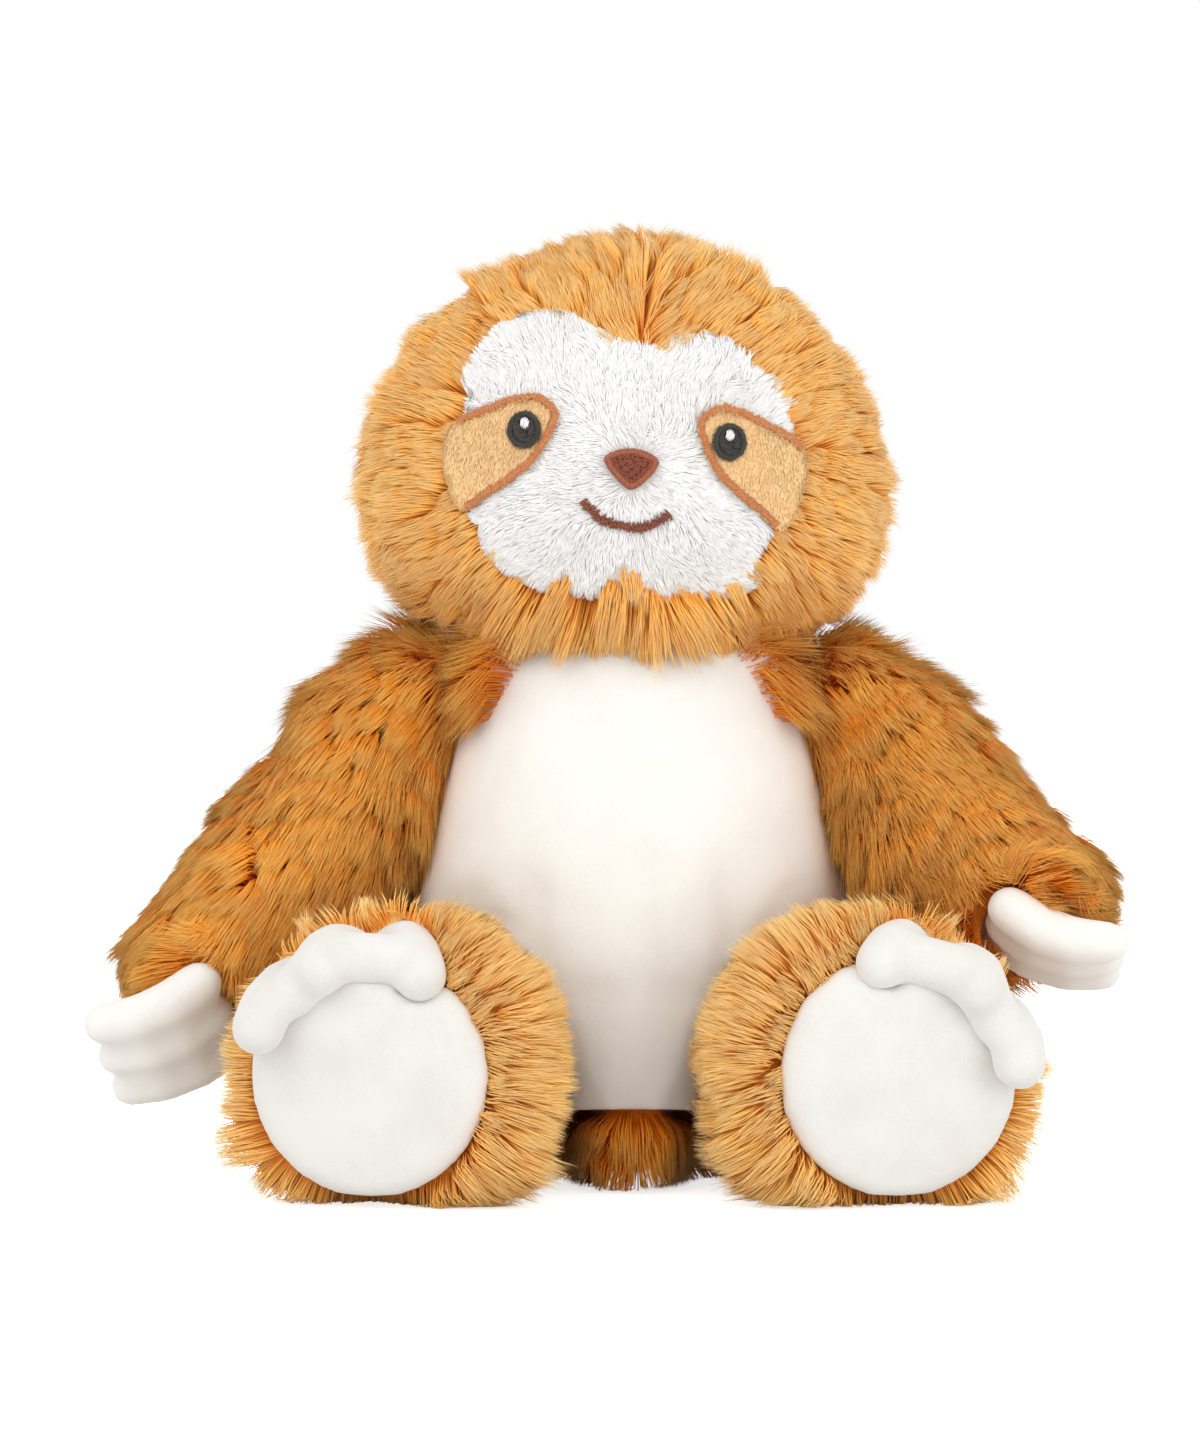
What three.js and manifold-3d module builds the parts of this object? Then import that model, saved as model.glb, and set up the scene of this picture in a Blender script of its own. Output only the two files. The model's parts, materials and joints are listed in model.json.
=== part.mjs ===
// A seated plush sloth: long-pile covers over stuffing, with a white face, tummy, soles and claws.
// Millimetres, +Z up. The toy faces -Y, its own left is +X, and the origin is the middle of its flat seat.
import * as THREE from 'three';
import { mergeVertices } from 'three/addons/utils/BufferGeometryUtils.js';
import Module from 'manifold-3d';

const wasm = await Module();
wasm.setup();

const vec = (x, y, z) => new THREE.Vector3(x, y, z);
const degrees = THREE.MathUtils.degToRad;

// Cloth, seams and gaps
const coverThickness = 6;
const clearance = 0.3;
const swingClearance = 0.8;
const seatFlatDepth = 0.5;

// Torso: rings from the seat up, each with its height, half width, reach to the front and reach to the back
const torsoRings = [
  { height: 0, halfWidth: 49, front: 45, back: 42 },
  { height: 9, halfWidth: 60, front: 54, back: 51 },
  { height: 36, halfWidth: 66, front: 58, back: 55 },
  { height: 70, halfWidth: 66, front: 59, back: 54 },
  { height: 100, halfWidth: 61, front: 54, back: 49 },
  { height: 126, halfWidth: 53, front: 46, back: 42 },
  { height: 146, halfWidth: 43, front: 36, back: 35 },
  { height: 158, halfWidth: 32, front: 25, back: 27 },
];
const torsoCrownHeight = 8;
const torsoCrownShare = 0.7;
const tummySeamY = -9;
const tummyBottomHeight = 25;
const seatSeamBackHeight = 12;
const beanBagHeight = 24;
const beanBagRadius = 36;
const labelWidth = 14;
const labelHeight = 16;
const labelThickness = 0.8;
const labelBottomHeight = 22;

// Neck: the ball of stuffing that the head turns and nods on
const neckRadius = 20;
const neckCentre = vec(-1, 4, torsoRings.at(-1).height + 2);
const headNodRange = 10;

// Head: its centre is the middle of its widest level
const headCentre = neckCentre.clone().add(vec(-1.6, -4, 39));
const headWidth = 149;
const headDepth = 117;
const crownHeight = 70.5;
const jawHeight = 44.5;
const jawFullness = 2.7;
const headRoll = 3.4;
const faceRecess = 2;

// Shoulders: each arm meets the torso at a leaning flat patch, with a gusset between
const shoulderX = 47.5;
const shoulderY = 6;
const shoulderHeight = 134;
const shoulderLean = 14;
const gussetRadius = 15;
const gussetThickness = 3;

// Arms: centre line and radius from the shoulder to the paw, as they hang on each side.
// Each place is counted from the shoulder: outwards, along Y, and up.
const armSections = {
  right: [
    { out: vec(-1.5, 0, 6), radius: 18.5 },
    { out: vec(22.5, -3, 4), radius: 20.5 },
    { out: vec(35.5, -12, -22), radius: 23.5 },
    { out: vec(55.5, -26, -50), radius: 24.5 },
    { out: vec(76.5, -42, -76), radius: 22.5 },
  ],
  left: [
    { out: vec(-1.5, 0, 3), radius: 18.5 },
    { out: vec(22.5, -3, 0.5), radius: 20 },
    { out: vec(36, -16, -21), radius: 25 },
    { out: vec(50, -36, -42), radius: 26 },
    { out: vec(67.5, -56, -57), radius: 22.5 },
  ],
};
const armStartRound = 10;
const pawRound = 16;

// Claws of the hands: three side by side across the front of each paw, from their roots outwards.
// rootSide points from the middle of the paw to the first root. Directions are outwards, along Y, and up.
const clawLength = 29;
const clawRootRadius = 6.5;
const clawTipRadius = 5.7;
const clawCurve = 3;
const clawGap = 0.5;
const clawInset = 2;
const clawBendRange = 30;
const hands = {
  right: { rootSide: vec(-2.5, -19, 1), along: vec(24, -2, -10), row: vec(5, 6.5, -10) },
  left: { rootSide: vec(-12, -20, 4), along: vec(33, -4, -11), row: vec(3, 11, -5) },
};

// Legs: centre line, half width and half height from the ball in the hip to the rim of the sole.
// underside is how square each section is below its middle, where the leg lies on the floor.
const hipCentre = vec(52, -16, 36);
const hipRadius = 32;
const footHalfWidth = 45;
const footHalfHeight = 41.5;
const footHeight = footHalfHeight - seatFlatDepth;
const footUnderside = 2.8;
const thighEnd = { at: vec(62, -73, 39.5), wide: 41, high: 39, underside: 2.5 };
const footBall = {
  at: vec(66, -89, footHeight), wide: footHalfWidth, high: footHalfHeight, underside: footUnderside,
};
const footEnd = {
  at: vec(68, -97, footHeight), wide: footHalfWidth - 3, high: footHalfHeight - 3, underside: footUnderside,
};
const legSections = [
  { at: hipCentre, wide: hipRadius, high: hipRadius },
  { at: vec(56, -45, 37), wide: 33, high: 33.5 },
  thighEnd,
  footBall,
  footEnd,
];
const soleRound = 8;
const soleDrop = 4;
const soleShift = 3;
const legLift = 10;
const legDrop = 70;

// Soles and toes: the toes spread from the top of each foot, which lies rolled outwards
const soleRadius = 32.5;
const soleThickness = 3;
const soleCrown = 2.5;
const footRoll = { right: 18, left: 36 };
const toes = [
  { name: 'inner', rootAngle: -24.5, tipAngle: -48 },
  { name: 'middle', rootAngle: 0, tipAngle: 5 },
  { name: 'outer', rootAngle: 24.5, tipAngle: 48 },
];
const toeRootReach = 34;
const toeTipReach = 31;
const toeRootDepth = 13;
const toeTipForward = 10;
const toeRadius = 6.8;
const toeTipRadius = 6.9;
const toeBendRange = 20;

// Face, in the head's own upright plane: X to its left, Z up from its centre
const faceOutline = [
  [-24, 47.9], [-41.9, 38.4], [-50, 15.3], [-51.4, 0.7], [-46.3, -10.5], [-38.7, -19.6], [-24.2, -29.3],
  [6, -30.1], [35.8, -27.7], [45.7, -10.1], [52.3, 6.3], [48.2, 23.3], [29, 40.4], [16.3, 43.3], [2.5, 38.8],
];
const eyePatchOutline = [
  [19, 18], [23.5, 23.4], [29.5, 24], [39, 20.5], [50.2, 14.2],
  [51.4, 3], [46, -10], [37.6, -5.6], [30, 0], [23.6, 6.6],
];
const patchThickness = 0.8;
const borderWidth = 2.4;
const borderThickness = 1.4;
const pupilCentre = [28.3, 13.5];
const pupilWidth = 10;
const pupilHeight = 10.8;
const pupilThickness = 0.8;
const glintCentre = [28, 15.2];
const glintWidth = 2.4;
const glintHeight = 3.2;
const glintThickness = 0.4;
const noseOutline = [[-5.7, 7.6], [1.7, 9.4], [9.1, 7.6], [6.9, 2.4], [2, -1.4], [-3, 2.4]];
const noseThickness = 3;
const mouthLine = [[-11.1, -5.3], [-7.2, -9], [-1.7, -11.6], [4.4, -12], [9.4, -10.3], [13.4, -7.5]];
const mouthWidth = 1.6;
const mouthThickness = 1;

// How finely the soft forms are divided
const headSides = 24;
const headSteps = 14;
const torsoSides = 20;
const limbDivisions = { sides: 16, steps: 6 };
const ballSides = 16;
const ballSteps = 10;
const clawSides = 8;
const clawSteps = 3;
const roomSides = 6;
const roomSteps = 2;
const fanArcPoints = 4;
const fanTilts = [-75, -45, -15, 15, 45, 75];
const fanFlatAngle = 20;
const blockSize = 700;

const cloth = (color, roughness = 0.9) => new THREE.MeshStandardMaterial({ color, roughness, metalness: 0 });
const materials = {
  headFur: cloth('#e4a45c'),
  limbFur: cloth('#cd7c2a'),
  footFur: cloth('#e5a562'),
  white: cloth('#f0ede6', 0.85),
  patch: cloth('#f2c48b', 0.8),
  border: cloth('#c07a45', 0.6),
  pupil: cloth('#3b3833', 0.5),
  nose: cloth('#8a4931', 0.6),
  stuffing: cloth('#f4f2ee', 1),
  label: cloth('#f7f6f2', 0.7),
};

// Closed meshes and solids

function closedLoft(rings, first, last) {
  const sides = rings[0].length;
  const points = [first, ...rings.flat(), last];
  const faces = [];
  const lastRing = 1 + (rings.length - 1) * sides;
  for (let side = 0; side < sides; side += 1) {
    const next = (side + 1) % sides;
    faces.push(0, 1 + next, 1 + side);
    faces.push(points.length - 1, lastRing + side, lastRing + next);
    for (let ring = 0; ring < rings.length - 1; ring += 1) {
      const near = 1 + ring * sides;
      const far = near + sides;
      faces.push(near + side, near + next, far + next);
      faces.push(near + side, far + next, far + side);
    }
  }
  const geometry = new THREE.BufferGeometry().setFromPoints(points);
  let volume = 0;
  for (let face = 0; face < faces.length; face += 3) {
    const [a, b, c] = faces.slice(face, face + 3).map((index) => points[index]);
    volume += a.dot(b.clone().cross(c));
  }
  geometry.setIndex(volume > 0 ? faces : faces.reverse());
  return geometry;
}

function solidOf(geometry) {
  const bare = geometry.clone();
  bare.deleteAttribute('normal');
  bare.deleteAttribute('uv');
  const merged = mergeVertices(bare, 1e-4);
  const vertProperties = merged.attributes.position.array;
  const triVerts = new Uint32Array(merged.index.array);
  return new wasm.Manifold(new wasm.Mesh({ numProp: 3, vertProperties, triVerts }));
}

const moved = (solid, matrix) => solid.transform(matrix.elements);
const cut = (solid, ...tools) => tools.reduce((left, tool) => left.subtract(tool), solid);
const joined = (solids) => solids.reduce((left, right) => left.add(right));

function turnAbout(point, axis, angle) {
  return new THREE.Matrix4()
    .makeTranslation(point)
    .multiply(new THREE.Matrix4().makeRotationAxis(axis.clone().normalize(), degrees(angle)))
    .multiply(new THREE.Matrix4().makeTranslation(point.clone().negate()));
}

// The room that a solid needs on its way through a hinge's range
function swept(solid, point, axis, angles) {
  return joined(angles.map((angle) => moved(solid, turnAbout(point, axis, angle))));
}

// Everything on the side of a plane that its normal points to
function halfSpace(point, normal) {
  const block = new THREE.BoxGeometry(blockSize, blockSize, blockSize);
  block.translate(0, 0, blockSize / 2);
  block.applyQuaternion(new THREE.Quaternion().setFromUnitVectors(vec(0, 0, 1), normal.clone().normalize()));
  block.translate(point.x, point.y, point.z);
  return solidOf(block);
}

function ball(centre, radius) {
  const sphere = new THREE.SphereGeometry(radius, ballSides, ballSteps);
  return solidOf(sphere.translate(centre.x, centre.y, centre.z));
}

const powered = (share, power) => Math.sign(share) * Math.abs(share) ** (2 / power);

// A stuffed limb: rings square to a curve through its sections, with rounded ends.
// grow moves its surface outwards, or inwards where it is negative.
// squareness is the power of its section: 2 is an ellipse, and more fills the corners.
// A section with an underside has that power below its middle.
function limb(sections, { grow = 0, upright, startRound, endRound, sides, steps, squareness = 2 }) {
  const line = new THREE.CatmullRomCurve3(sections.map((section) => section.at));
  const size = new THREE.CatmullRomCurve3(sections.map(({ wide, high, underside = squareness }) => {
    return vec(wide, high, underside);
  }));
  const rings = [];
  const addRing = (centre, along, wide, high, underside) => {
    const across = upright.clone().cross(along).normalize();
    const up = along.clone().cross(across);
    rings.push(Array.from({ length: sides }, (_, side) => {
      const angle = (2 * Math.PI * side) / sides;
      const power = Math.sin(angle) < 0 ? underside : squareness;
      return centre.clone().addScaledVector(across, wide * powered(Math.cos(angle), power))
        .addScaledVector(up, high * powered(Math.sin(angle), power));
    }));
  };
  const addEnd = (place, sign, round) => {
    const reach = round + grow;
    const along = line.getTangent(place);
    const { x: wide, y: high, z: underside } = size.getPoint(place);
    const turns = sign < 0 ? [60, 30] : [30, 60];
    for (const turn of turns) {
      const out = reach * Math.sin(degrees(turn)) * sign;
      const share = Math.cos(degrees(turn));
      const centre = line.getPoint(place).addScaledVector(along, out);
      addRing(centre, along, (wide + grow) * share, (high + grow) * share, underside);
    }
    return line.getPoint(place).addScaledVector(along, reach * sign);
  };
  const first = addEnd(0, -1, startRound);
  for (let step = 0; step <= steps; step += 1) {
    const place = step / steps;
    const { x: wide, y: high, z: underside } = size.getPoint(place);
    addRing(line.getPoint(place), line.getTangent(place), wide + grow, high + grow, underside);
  }
  const last = addEnd(1, 1, endRound);
  return solidOf(closedLoft(rings, first, last));
}

// Head: an ellipsoid above its centre line and a fuller jaw below

const headPlace = new THREE.Matrix4()
  .makeTranslation(headCentre)
  .multiply(new THREE.Matrix4().makeRotationY(degrees(headRoll)));

function headPoint(around, up, grow) {
  const fullness = up < 0 ? jawFullness : 2;
  const height = (up < 0 ? jawHeight : crownHeight) + grow;
  const share = Math.abs(Math.cos(up)) ** (2 / fullness);
  return vec(
    (headWidth / 2 + grow) * share * Math.cos(around),
    (headDepth / 2 + grow) * share * Math.sin(around),
    Math.sign(up) * height * Math.abs(Math.sin(up)) ** (2 / fullness),
  ).applyMatrix4(headPlace);
}

function headForm(grow = 0) {
  const rings = [];
  for (let step = 1; step < headSteps; step += 1) {
    const up = Math.PI * (step / headSteps - 0.5);
    rings.push(Array.from({ length: headSides }, (_, side) => {
      return headPoint(2 * Math.PI * (side / headSides), up, grow);
    }));
  }
  return solidOf(closedLoft(rings, headPoint(0, -Math.PI / 2, grow), headPoint(0, Math.PI / 2, grow)));
}

// The bowl that the jaw needs as the head turns and nods, as a round shape about the neck's upright axis
function headSweep() {
  const ringStep = 10;
  const lowest = new Array(Math.ceil(headWidth / 2 / ringStep) + 2).fill(headCentre.z);
  for (let up = -90; up <= 0; up += 3) {
    for (let around = 0; around < 360; around += 10) {
      const point = headPoint(degrees(around), degrees(up), 2 * swingClearance);
      for (let nod = -headNodRange; nod <= headNodRange; nod += headNodRange / 2) {
        const there = point.clone().applyMatrix4(turnAbout(neckCentre, vec(1, 0, 0), nod)).sub(neckCentre);
        const ring = Math.hypot(there.x, there.y) / ringStep;
        for (const index of [Math.floor(ring), Math.ceil(ring)]) {
          lowest[index] = Math.min(lowest[index], there.z + neckCentre.z);
        }
      }
    }
  }
  const top = headCentre.z + crownHeight;
  const profile = lowest.map((height, index) => new THREE.Vector2(index * ringStep, height));
  profile.push(new THREE.Vector2((lowest.length - 1) * ringStep, top), new THREE.Vector2(0, top));
  const bowl = new THREE.LatheGeometry(profile, torsoSides);
  bowl.rotateX(Math.PI / 2);
  return solidOf(bowl.translate(neckCentre.x, neckCentre.y, 0));
}

// Torso: rings at each height, with a deeper front than back

function torsoForm(grow = 0) {
  const heights = torsoRings.map((ring) => ring.height);
  const top = heights.at(-1);
  const reaches = torsoRings.map((ring) => vec(ring.halfWidth, ring.front, ring.back));
  const size = new THREE.CatmullRomCurve3(reaches);
  const rings = [];
  const addRing = (height, halfWidth, front, back) => {
    rings.push(Array.from({ length: torsoSides }, (_, side) => {
      const angle = (2 * Math.PI * side) / torsoSides;
      const depth = Math.sin(angle) < 0 ? front : back;
      return vec(halfWidth * Math.cos(angle), depth * Math.sin(angle), height);
    }));
  };
  const base = -seatFlatDepth - grow;
  heights.forEach((height, index) => {
    const { x, y, z } = size.getPoint(index / (heights.length - 1));
    const lifted = THREE.MathUtils.mapLinear(height, 0, top, base, top + grow);
    addRing(lifted, x + grow, y + grow, z + grow);
  });
  const { halfWidth, front, back } = torsoRings.at(-1);
  const crown = [halfWidth, front, back].map((reach) => (reach + grow) * torsoCrownShare);
  addRing(top + grow + torsoCrownHeight * torsoCrownShare, ...crown);
  return solidOf(closedLoft(rings, vec(0, 0, base), vec(0, 0, top + grow + torsoCrownHeight)));
}

// Outlines drawn on the front of the head

const smoothOutline = (points, divisions) => new THREE.CatmullRomCurve3(
  points.map(([x, z]) => vec(x, z, 0)),
  true,
).getPoints(divisions).slice(0, -1).map(({ x, y }) => new THREE.Vector2(x, y));

const ellipse = ([x, z], width, height, divisions = 10) => new THREE.EllipseCurve(x, z, width / 2, height / 2)
  .getPoints(divisions).slice(0, -1);

const mirrored = (points, side) => points.map(([x, z]) => [x * side, z]);

// Moves each point of an outline along its own normal
function offsetOutline(points, distance) {
  const turn = Math.sign(THREE.ShapeUtils.area(points));
  return points.map((point, index) => {
    const before = points.at(index - 1);
    const after = points[(index + 1) % points.length];
    const along = after.clone().sub(before).normalize();
    return point.clone().add(new THREE.Vector2(along.y, -along.x).multiplyScalar(distance * turn));
  });
}

// The part of a layer of the head's surface that lies behind an outline, from one depth to another
function faceRegion(outline) {
  const shape = new THREE.Shape(outline);
  const block = new THREE.ExtrudeGeometry(shape, { depth: headDepth, bevelEnabled: false });
  block.rotateX(Math.PI / 2);
  return moved(solidOf(block), headPlace);
}

function faceLayer(outline, from, to) {
  return faceRegion(outline).intersect(headForm(to)).subtract(headForm(from));
}

// Claws: a tapered, slightly curved finger between two points

// The room it needs in the cover round its root is cut with fewer sides, drawn round the true section.
function finger(root, tip, bulge, rootRadius, tipRadius, { grow = 0, room = false, halfWidth = 0 } = {}) {
  const middle = root.clone().lerp(tip, 0.5).add(bulge);
  const spread = room ? 1 / Math.cos(Math.PI / roomSides) : 1;
  const section = (at, radius) => ({ at, wide: halfWidth + radius * spread, high: radius * spread });
  const sections = [section(root, rootRadius), section(middle, rootRadius), section(tip, tipRadius)];
  return limb(sections, {
    grow,
    upright: bulge,
    startRound: rootRadius * spread,
    endRound: tipRadius * spread,
    sides: (room ? roomSides : clawSides) * (halfWidth ? 2 : 1),
    steps: room ? roomSteps : clawSteps,
    squareness: halfWidth ? 4 : 2,
  });
}

// The toy as nested groups, one for each body that moves

const toy = new THREE.Group();
toy.name = 'sloth_toy';

function addGroup(parent, origin, rollAboutY = 0) {
  const group = new THREE.Group();
  parent.updateWorldMatrix(true, false);
  group.position.copy(parent.worldToLocal(origin.clone()));
  group.rotation.y = degrees(rollAboutY);
  parent.add(group);
  return group;
}

function addPiece(group, name, solid, material) {
  group.updateWorldMatrix(true, false);
  const local = moved(solid, group.matrixWorld.clone().invert());
  const { vertProperties, triVerts } = local.getMesh();
  const geometry = new THREE.BufferGeometry();
  geometry.setAttribute('position', new THREE.BufferAttribute(new Float32Array(vertProperties), 3));
  geometry.setIndex(new THREE.BufferAttribute(new Uint32Array(triVerts), 1));
  geometry.computeVertexNormals();
  const mesh = new THREE.Mesh(geometry, material);
  mesh.name = name;
  group.add(mesh);
}

const sides = [{ name: 'right', sign: -1 }, { name: 'left', sign: 1 }];
const floor = halfSpace(vec(0, 0, 0), vec(0, 0, -1));

// Leg forms

const onSide = (point, sign) => vec(point.x * sign, point.y, point.z);

function legForm(sign, grow = 0) {
  const sections = legSections.map((section) => ({ ...section, at: onSide(section.at, sign) }));
  return limb(sections, {
    ...limbDivisions, grow, upright: vec(0, 0, 1), startRound: hipRadius, endRound: soleRound,
  });
}

function legHinge(sign) {
  const along = onSide(footBall.at.clone().sub(hipCentre), sign);
  return { point: onSide(hipCentre, sign), axis: vec(along.y, -along.x, 0).normalize() };
}

// The room that a thigh needs in the torso: a rounded fan about the hip, from the leg lifted to dropped.
// Its corners are the hip and the thigh's end at both limits, each with the leg's radius there.
function legSweep(sign) {
  const { point, axis } = legHinge(sign);
  const thigh = onSide(thighEnd.at, sign).sub(point);
  const forward = thigh.clone().projectOnPlane(axis).normalize();
  const upward = axis.clone().cross(forward);
  const reach = thigh.length();
  const hipRoom = hipRadius + swingClearance;
  const thighRoom = thighEnd.wide + swingClearance;
  const corners = [
    { angle: legLift, reach, room: thighRoom, from: (legLift - legDrop) / 2, to: legLift + 90 },
    { angle: 0, reach: 0, room: hipRoom, from: legLift + 90, to: 270 - legDrop },
    { angle: -legDrop, reach, room: thighRoom, from: -90 - legDrop, to: (legLift - legDrop) / 2 },
  ];
  const place = (angle, distance, across) => point.clone()
    .addScaledVector(forward, distance * Math.cos(degrees(angle)))
    .addScaledVector(upward, distance * Math.sin(degrees(angle)))
    .addScaledVector(axis, across);
  const roundness = 1 / Math.cos(degrees(fanFlatAngle));
  const rings = fanTilts.map((tilt) => corners.flatMap((corner) => {
    const radius = corner.room * roundness;
    return Array.from({ length: fanArcPoints }, (_, index) => {
      const turn = degrees(THREE.MathUtils.lerp(corner.from, corner.to, index / (fanArcPoints - 1)));
      const out = radius * Math.cos(degrees(tilt));
      return place(corner.angle, corner.reach, radius * Math.sin(degrees(tilt)))
        .addScaledVector(forward, out * Math.cos(turn))
        .addScaledVector(upward, out * Math.sin(turn));
    });
  }));
  const middle = (legLift - legDrop) / 2;
  const side = thighRoom * roundness;
  return solidOf(closedLoft(rings, place(middle, reach / 2, -side), place(middle, reach / 2, side)));
}

// Shoulder planes: the flat patch that each arm and its gusset lie on

function shoulder(sign) {
  const lean = degrees(shoulderLean);
  return {
    centre: vec(shoulderX * sign, shoulderY, shoulderHeight),
    normal: vec(Math.cos(lean) * sign, 0, Math.sin(lean)),
    up: vec(-Math.sin(lean) * sign, 0, Math.cos(lean)),
  };
}

const beyondShoulder = (sign, distance) => {
  const { centre, normal } = shoulder(sign);
  return halfSpace(centre.clone().addScaledVector(normal, distance), normal);
};

// Torso pieces

const torso = addGroup(toy, vec(0, 0, 0));
const neckSocket = ball(neckCentre, neckRadius + swingClearance);
const torsoCuts = [
  floor,
  neckSocket,
  headSweep(),
  ...sides.map(({ sign }) => legSweep(sign)),
  ...sides.map(({ sign }) => beyondShoulder(sign, 0)),
];
const torsoShell = cut(torsoForm(), torsoForm(-coverThickness));
const seamHalf = clearance / 2;
const widestRing = torsoRings[2];
const seatSeamRise = tummyBottomHeight - seatSeamBackHeight;
const seatNormal = vec(0, seatSeamRise, widestRing.front + widestRing.back).normalize();
const seatMiddle = vec(0, 0, (tummyBottomHeight + seatSeamBackHeight) / 2);
const seatDown = seatNormal.clone().negate();
const aboveSeat = halfSpace(seatMiddle.clone().addScaledVector(seatNormal, seamHalf), seatNormal);
const belowSeat = halfSpace(seatMiddle.clone().addScaledVector(seatDown, seamHalf), seatDown);
const frontHalf = halfSpace(vec(0, tummySeamY - seamHalf, 0), vec(0, -1, 0));
const backHalf = halfSpace(vec(0, tummySeamY + seamHalf, 0), vec(0, 1, 0));
const upperShell = torsoShell.intersect(aboveSeat);

addPiece(torso, 'tummy_panel', cut(upperShell.intersect(frontHalf), ...torsoCuts), materials.white);
for (const { name, sign } of sides) {
  const half = halfSpace(vec(seamHalf * sign, 0, 0), vec(sign, 0, 0));
  const panel = cut(upperShell.intersect(backHalf).intersect(half), ...torsoCuts);
  addPiece(torso, `back_panel_${name}`, panel, materials.limbFur);
}
addPiece(torso, 'seat_panel', cut(torsoShell.intersect(belowSeat), ...torsoCuts), materials.limbFur);

const torsoCore = torsoForm(-coverThickness - clearance);
const bagDome = (grow) => {
  const dome = new THREE.SphereGeometry(beanBagRadius + grow, torsoSides, 12);
  dome.scale(1, 1, (beanBagHeight + grow) / (beanBagRadius + grow));
  return solidOf(dome);
};
addPiece(torso, 'seat_bean_bag', cut(torsoCore.intersect(bagDome(0)), ...torsoCuts), materials.label);
addPiece(torso, 'body_stuffing', cut(torsoCore, bagDome(clearance), ...torsoCuts), materials.stuffing);

const label = new THREE.BoxGeometry(labelThickness, labelWidth, labelHeight);
label.translate(0, widestRing.back + labelWidth / 2, labelBottomHeight + labelHeight / 2);
addPiece(torso, 'care_label', cut(solidOf(label), torsoForm(clearance)), materials.label);

// Neck and head pieces

const neck = addGroup(toy, neckCentre);
addPiece(neck, 'neck_stuffing', ball(neckCentre, neckRadius), materials.stuffing);

const head = addGroup(neck, headCentre, headRoll);
const faceEdge = smoothOutline(faceOutline, 30);
const faceInside = faceRegion(offsetOutline(faceEdge, -clearance));
const headInside = headForm(-coverThickness);
const hood = cut(headForm(), headInside, faceRegion(faceEdge), neckSocket);
for (const { name, sign } of sides) {
  const half = moved(halfSpace(vec(seamHalf * sign, 0, 0), vec(sign, 0, 0)), headPlace);
  addPiece(head, `hood_panel_${name}`, hood.intersect(half), materials.headFur);
}
const faceTop = -faceRecess;
const facePanel = faceLayer(offsetOutline(faceEdge, -clearance), -coverThickness, faceTop);
addPiece(head, 'face_panel', facePanel, materials.white);
addPiece(head, 'head_stuffing', cut(headForm(-coverThickness - clearance), neckSocket), materials.stuffing);

const onFace = faceTop + clearance;
for (const { name, sign } of sides) {
  const edge = smoothOutline(mirrored(eyePatchOutline, sign), 18);
  const inner = offsetOutline(edge, -borderWidth);
  const patchTop = onFace + patchThickness;
  const pupilTop = patchTop + clearance + pupilThickness;
  const borderLayer = faceLayer(edge, onFace, onFace + borderThickness);
  const ring = cut(borderLayer, faceRegion(inner)).intersect(faceInside);
  const patch = faceLayer(offsetOutline(inner, -clearance), onFace, patchTop).intersect(faceInside);
  addPiece(head, `eye_patch_${name}`, patch, materials.patch);
  addPiece(head, `eye_patch_border_${name}`, ring, materials.border);
  const pupil = ellipse([pupilCentre[0] * sign, pupilCentre[1]], pupilWidth, pupilHeight);
  addPiece(head, `pupil_${name}`, faceLayer(pupil, patchTop + clearance, pupilTop), materials.pupil);
  const glint = ellipse([glintCentre[0] * sign, glintCentre[1]], glintWidth, glintHeight, 6);
  const glintFrom = pupilTop + clearance;
  const glintLayer = faceLayer(glint, glintFrom, glintFrom + glintThickness);
  addPiece(head, `pupil_glint_${name}`, glintLayer, materials.white);
}
const noseLayer = faceLayer(smoothOutline(noseOutline, 12), onFace, onFace + noseThickness);
addPiece(head, 'nose', noseLayer, materials.nose);
const mouthCurve = new THREE.SplineCurve(mouthLine.map(([x, z]) => new THREE.Vector2(x, z))).getPoints(8);
const mouthNormal = (index) => {
  const before = mouthCurve[Math.max(index - 1, 0)];
  const after = mouthCurve[Math.min(index + 1, mouthCurve.length - 1)];
  const along = after.clone().sub(before).normalize();
  return new THREE.Vector2(-along.y, along.x).multiplyScalar(mouthWidth / 2);
};
const mouthEdge = [
  ...mouthCurve.map((point, index) => point.clone().sub(mouthNormal(index))),
  ...mouthCurve.map((point, index) => point.clone().add(mouthNormal(index))).reverse(),
];
addPiece(head, 'mouth', faceLayer(mouthEdge, onFace, onFace + mouthThickness), materials.nose);

// Arms: gusset, cover, stuffing and claws

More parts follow.
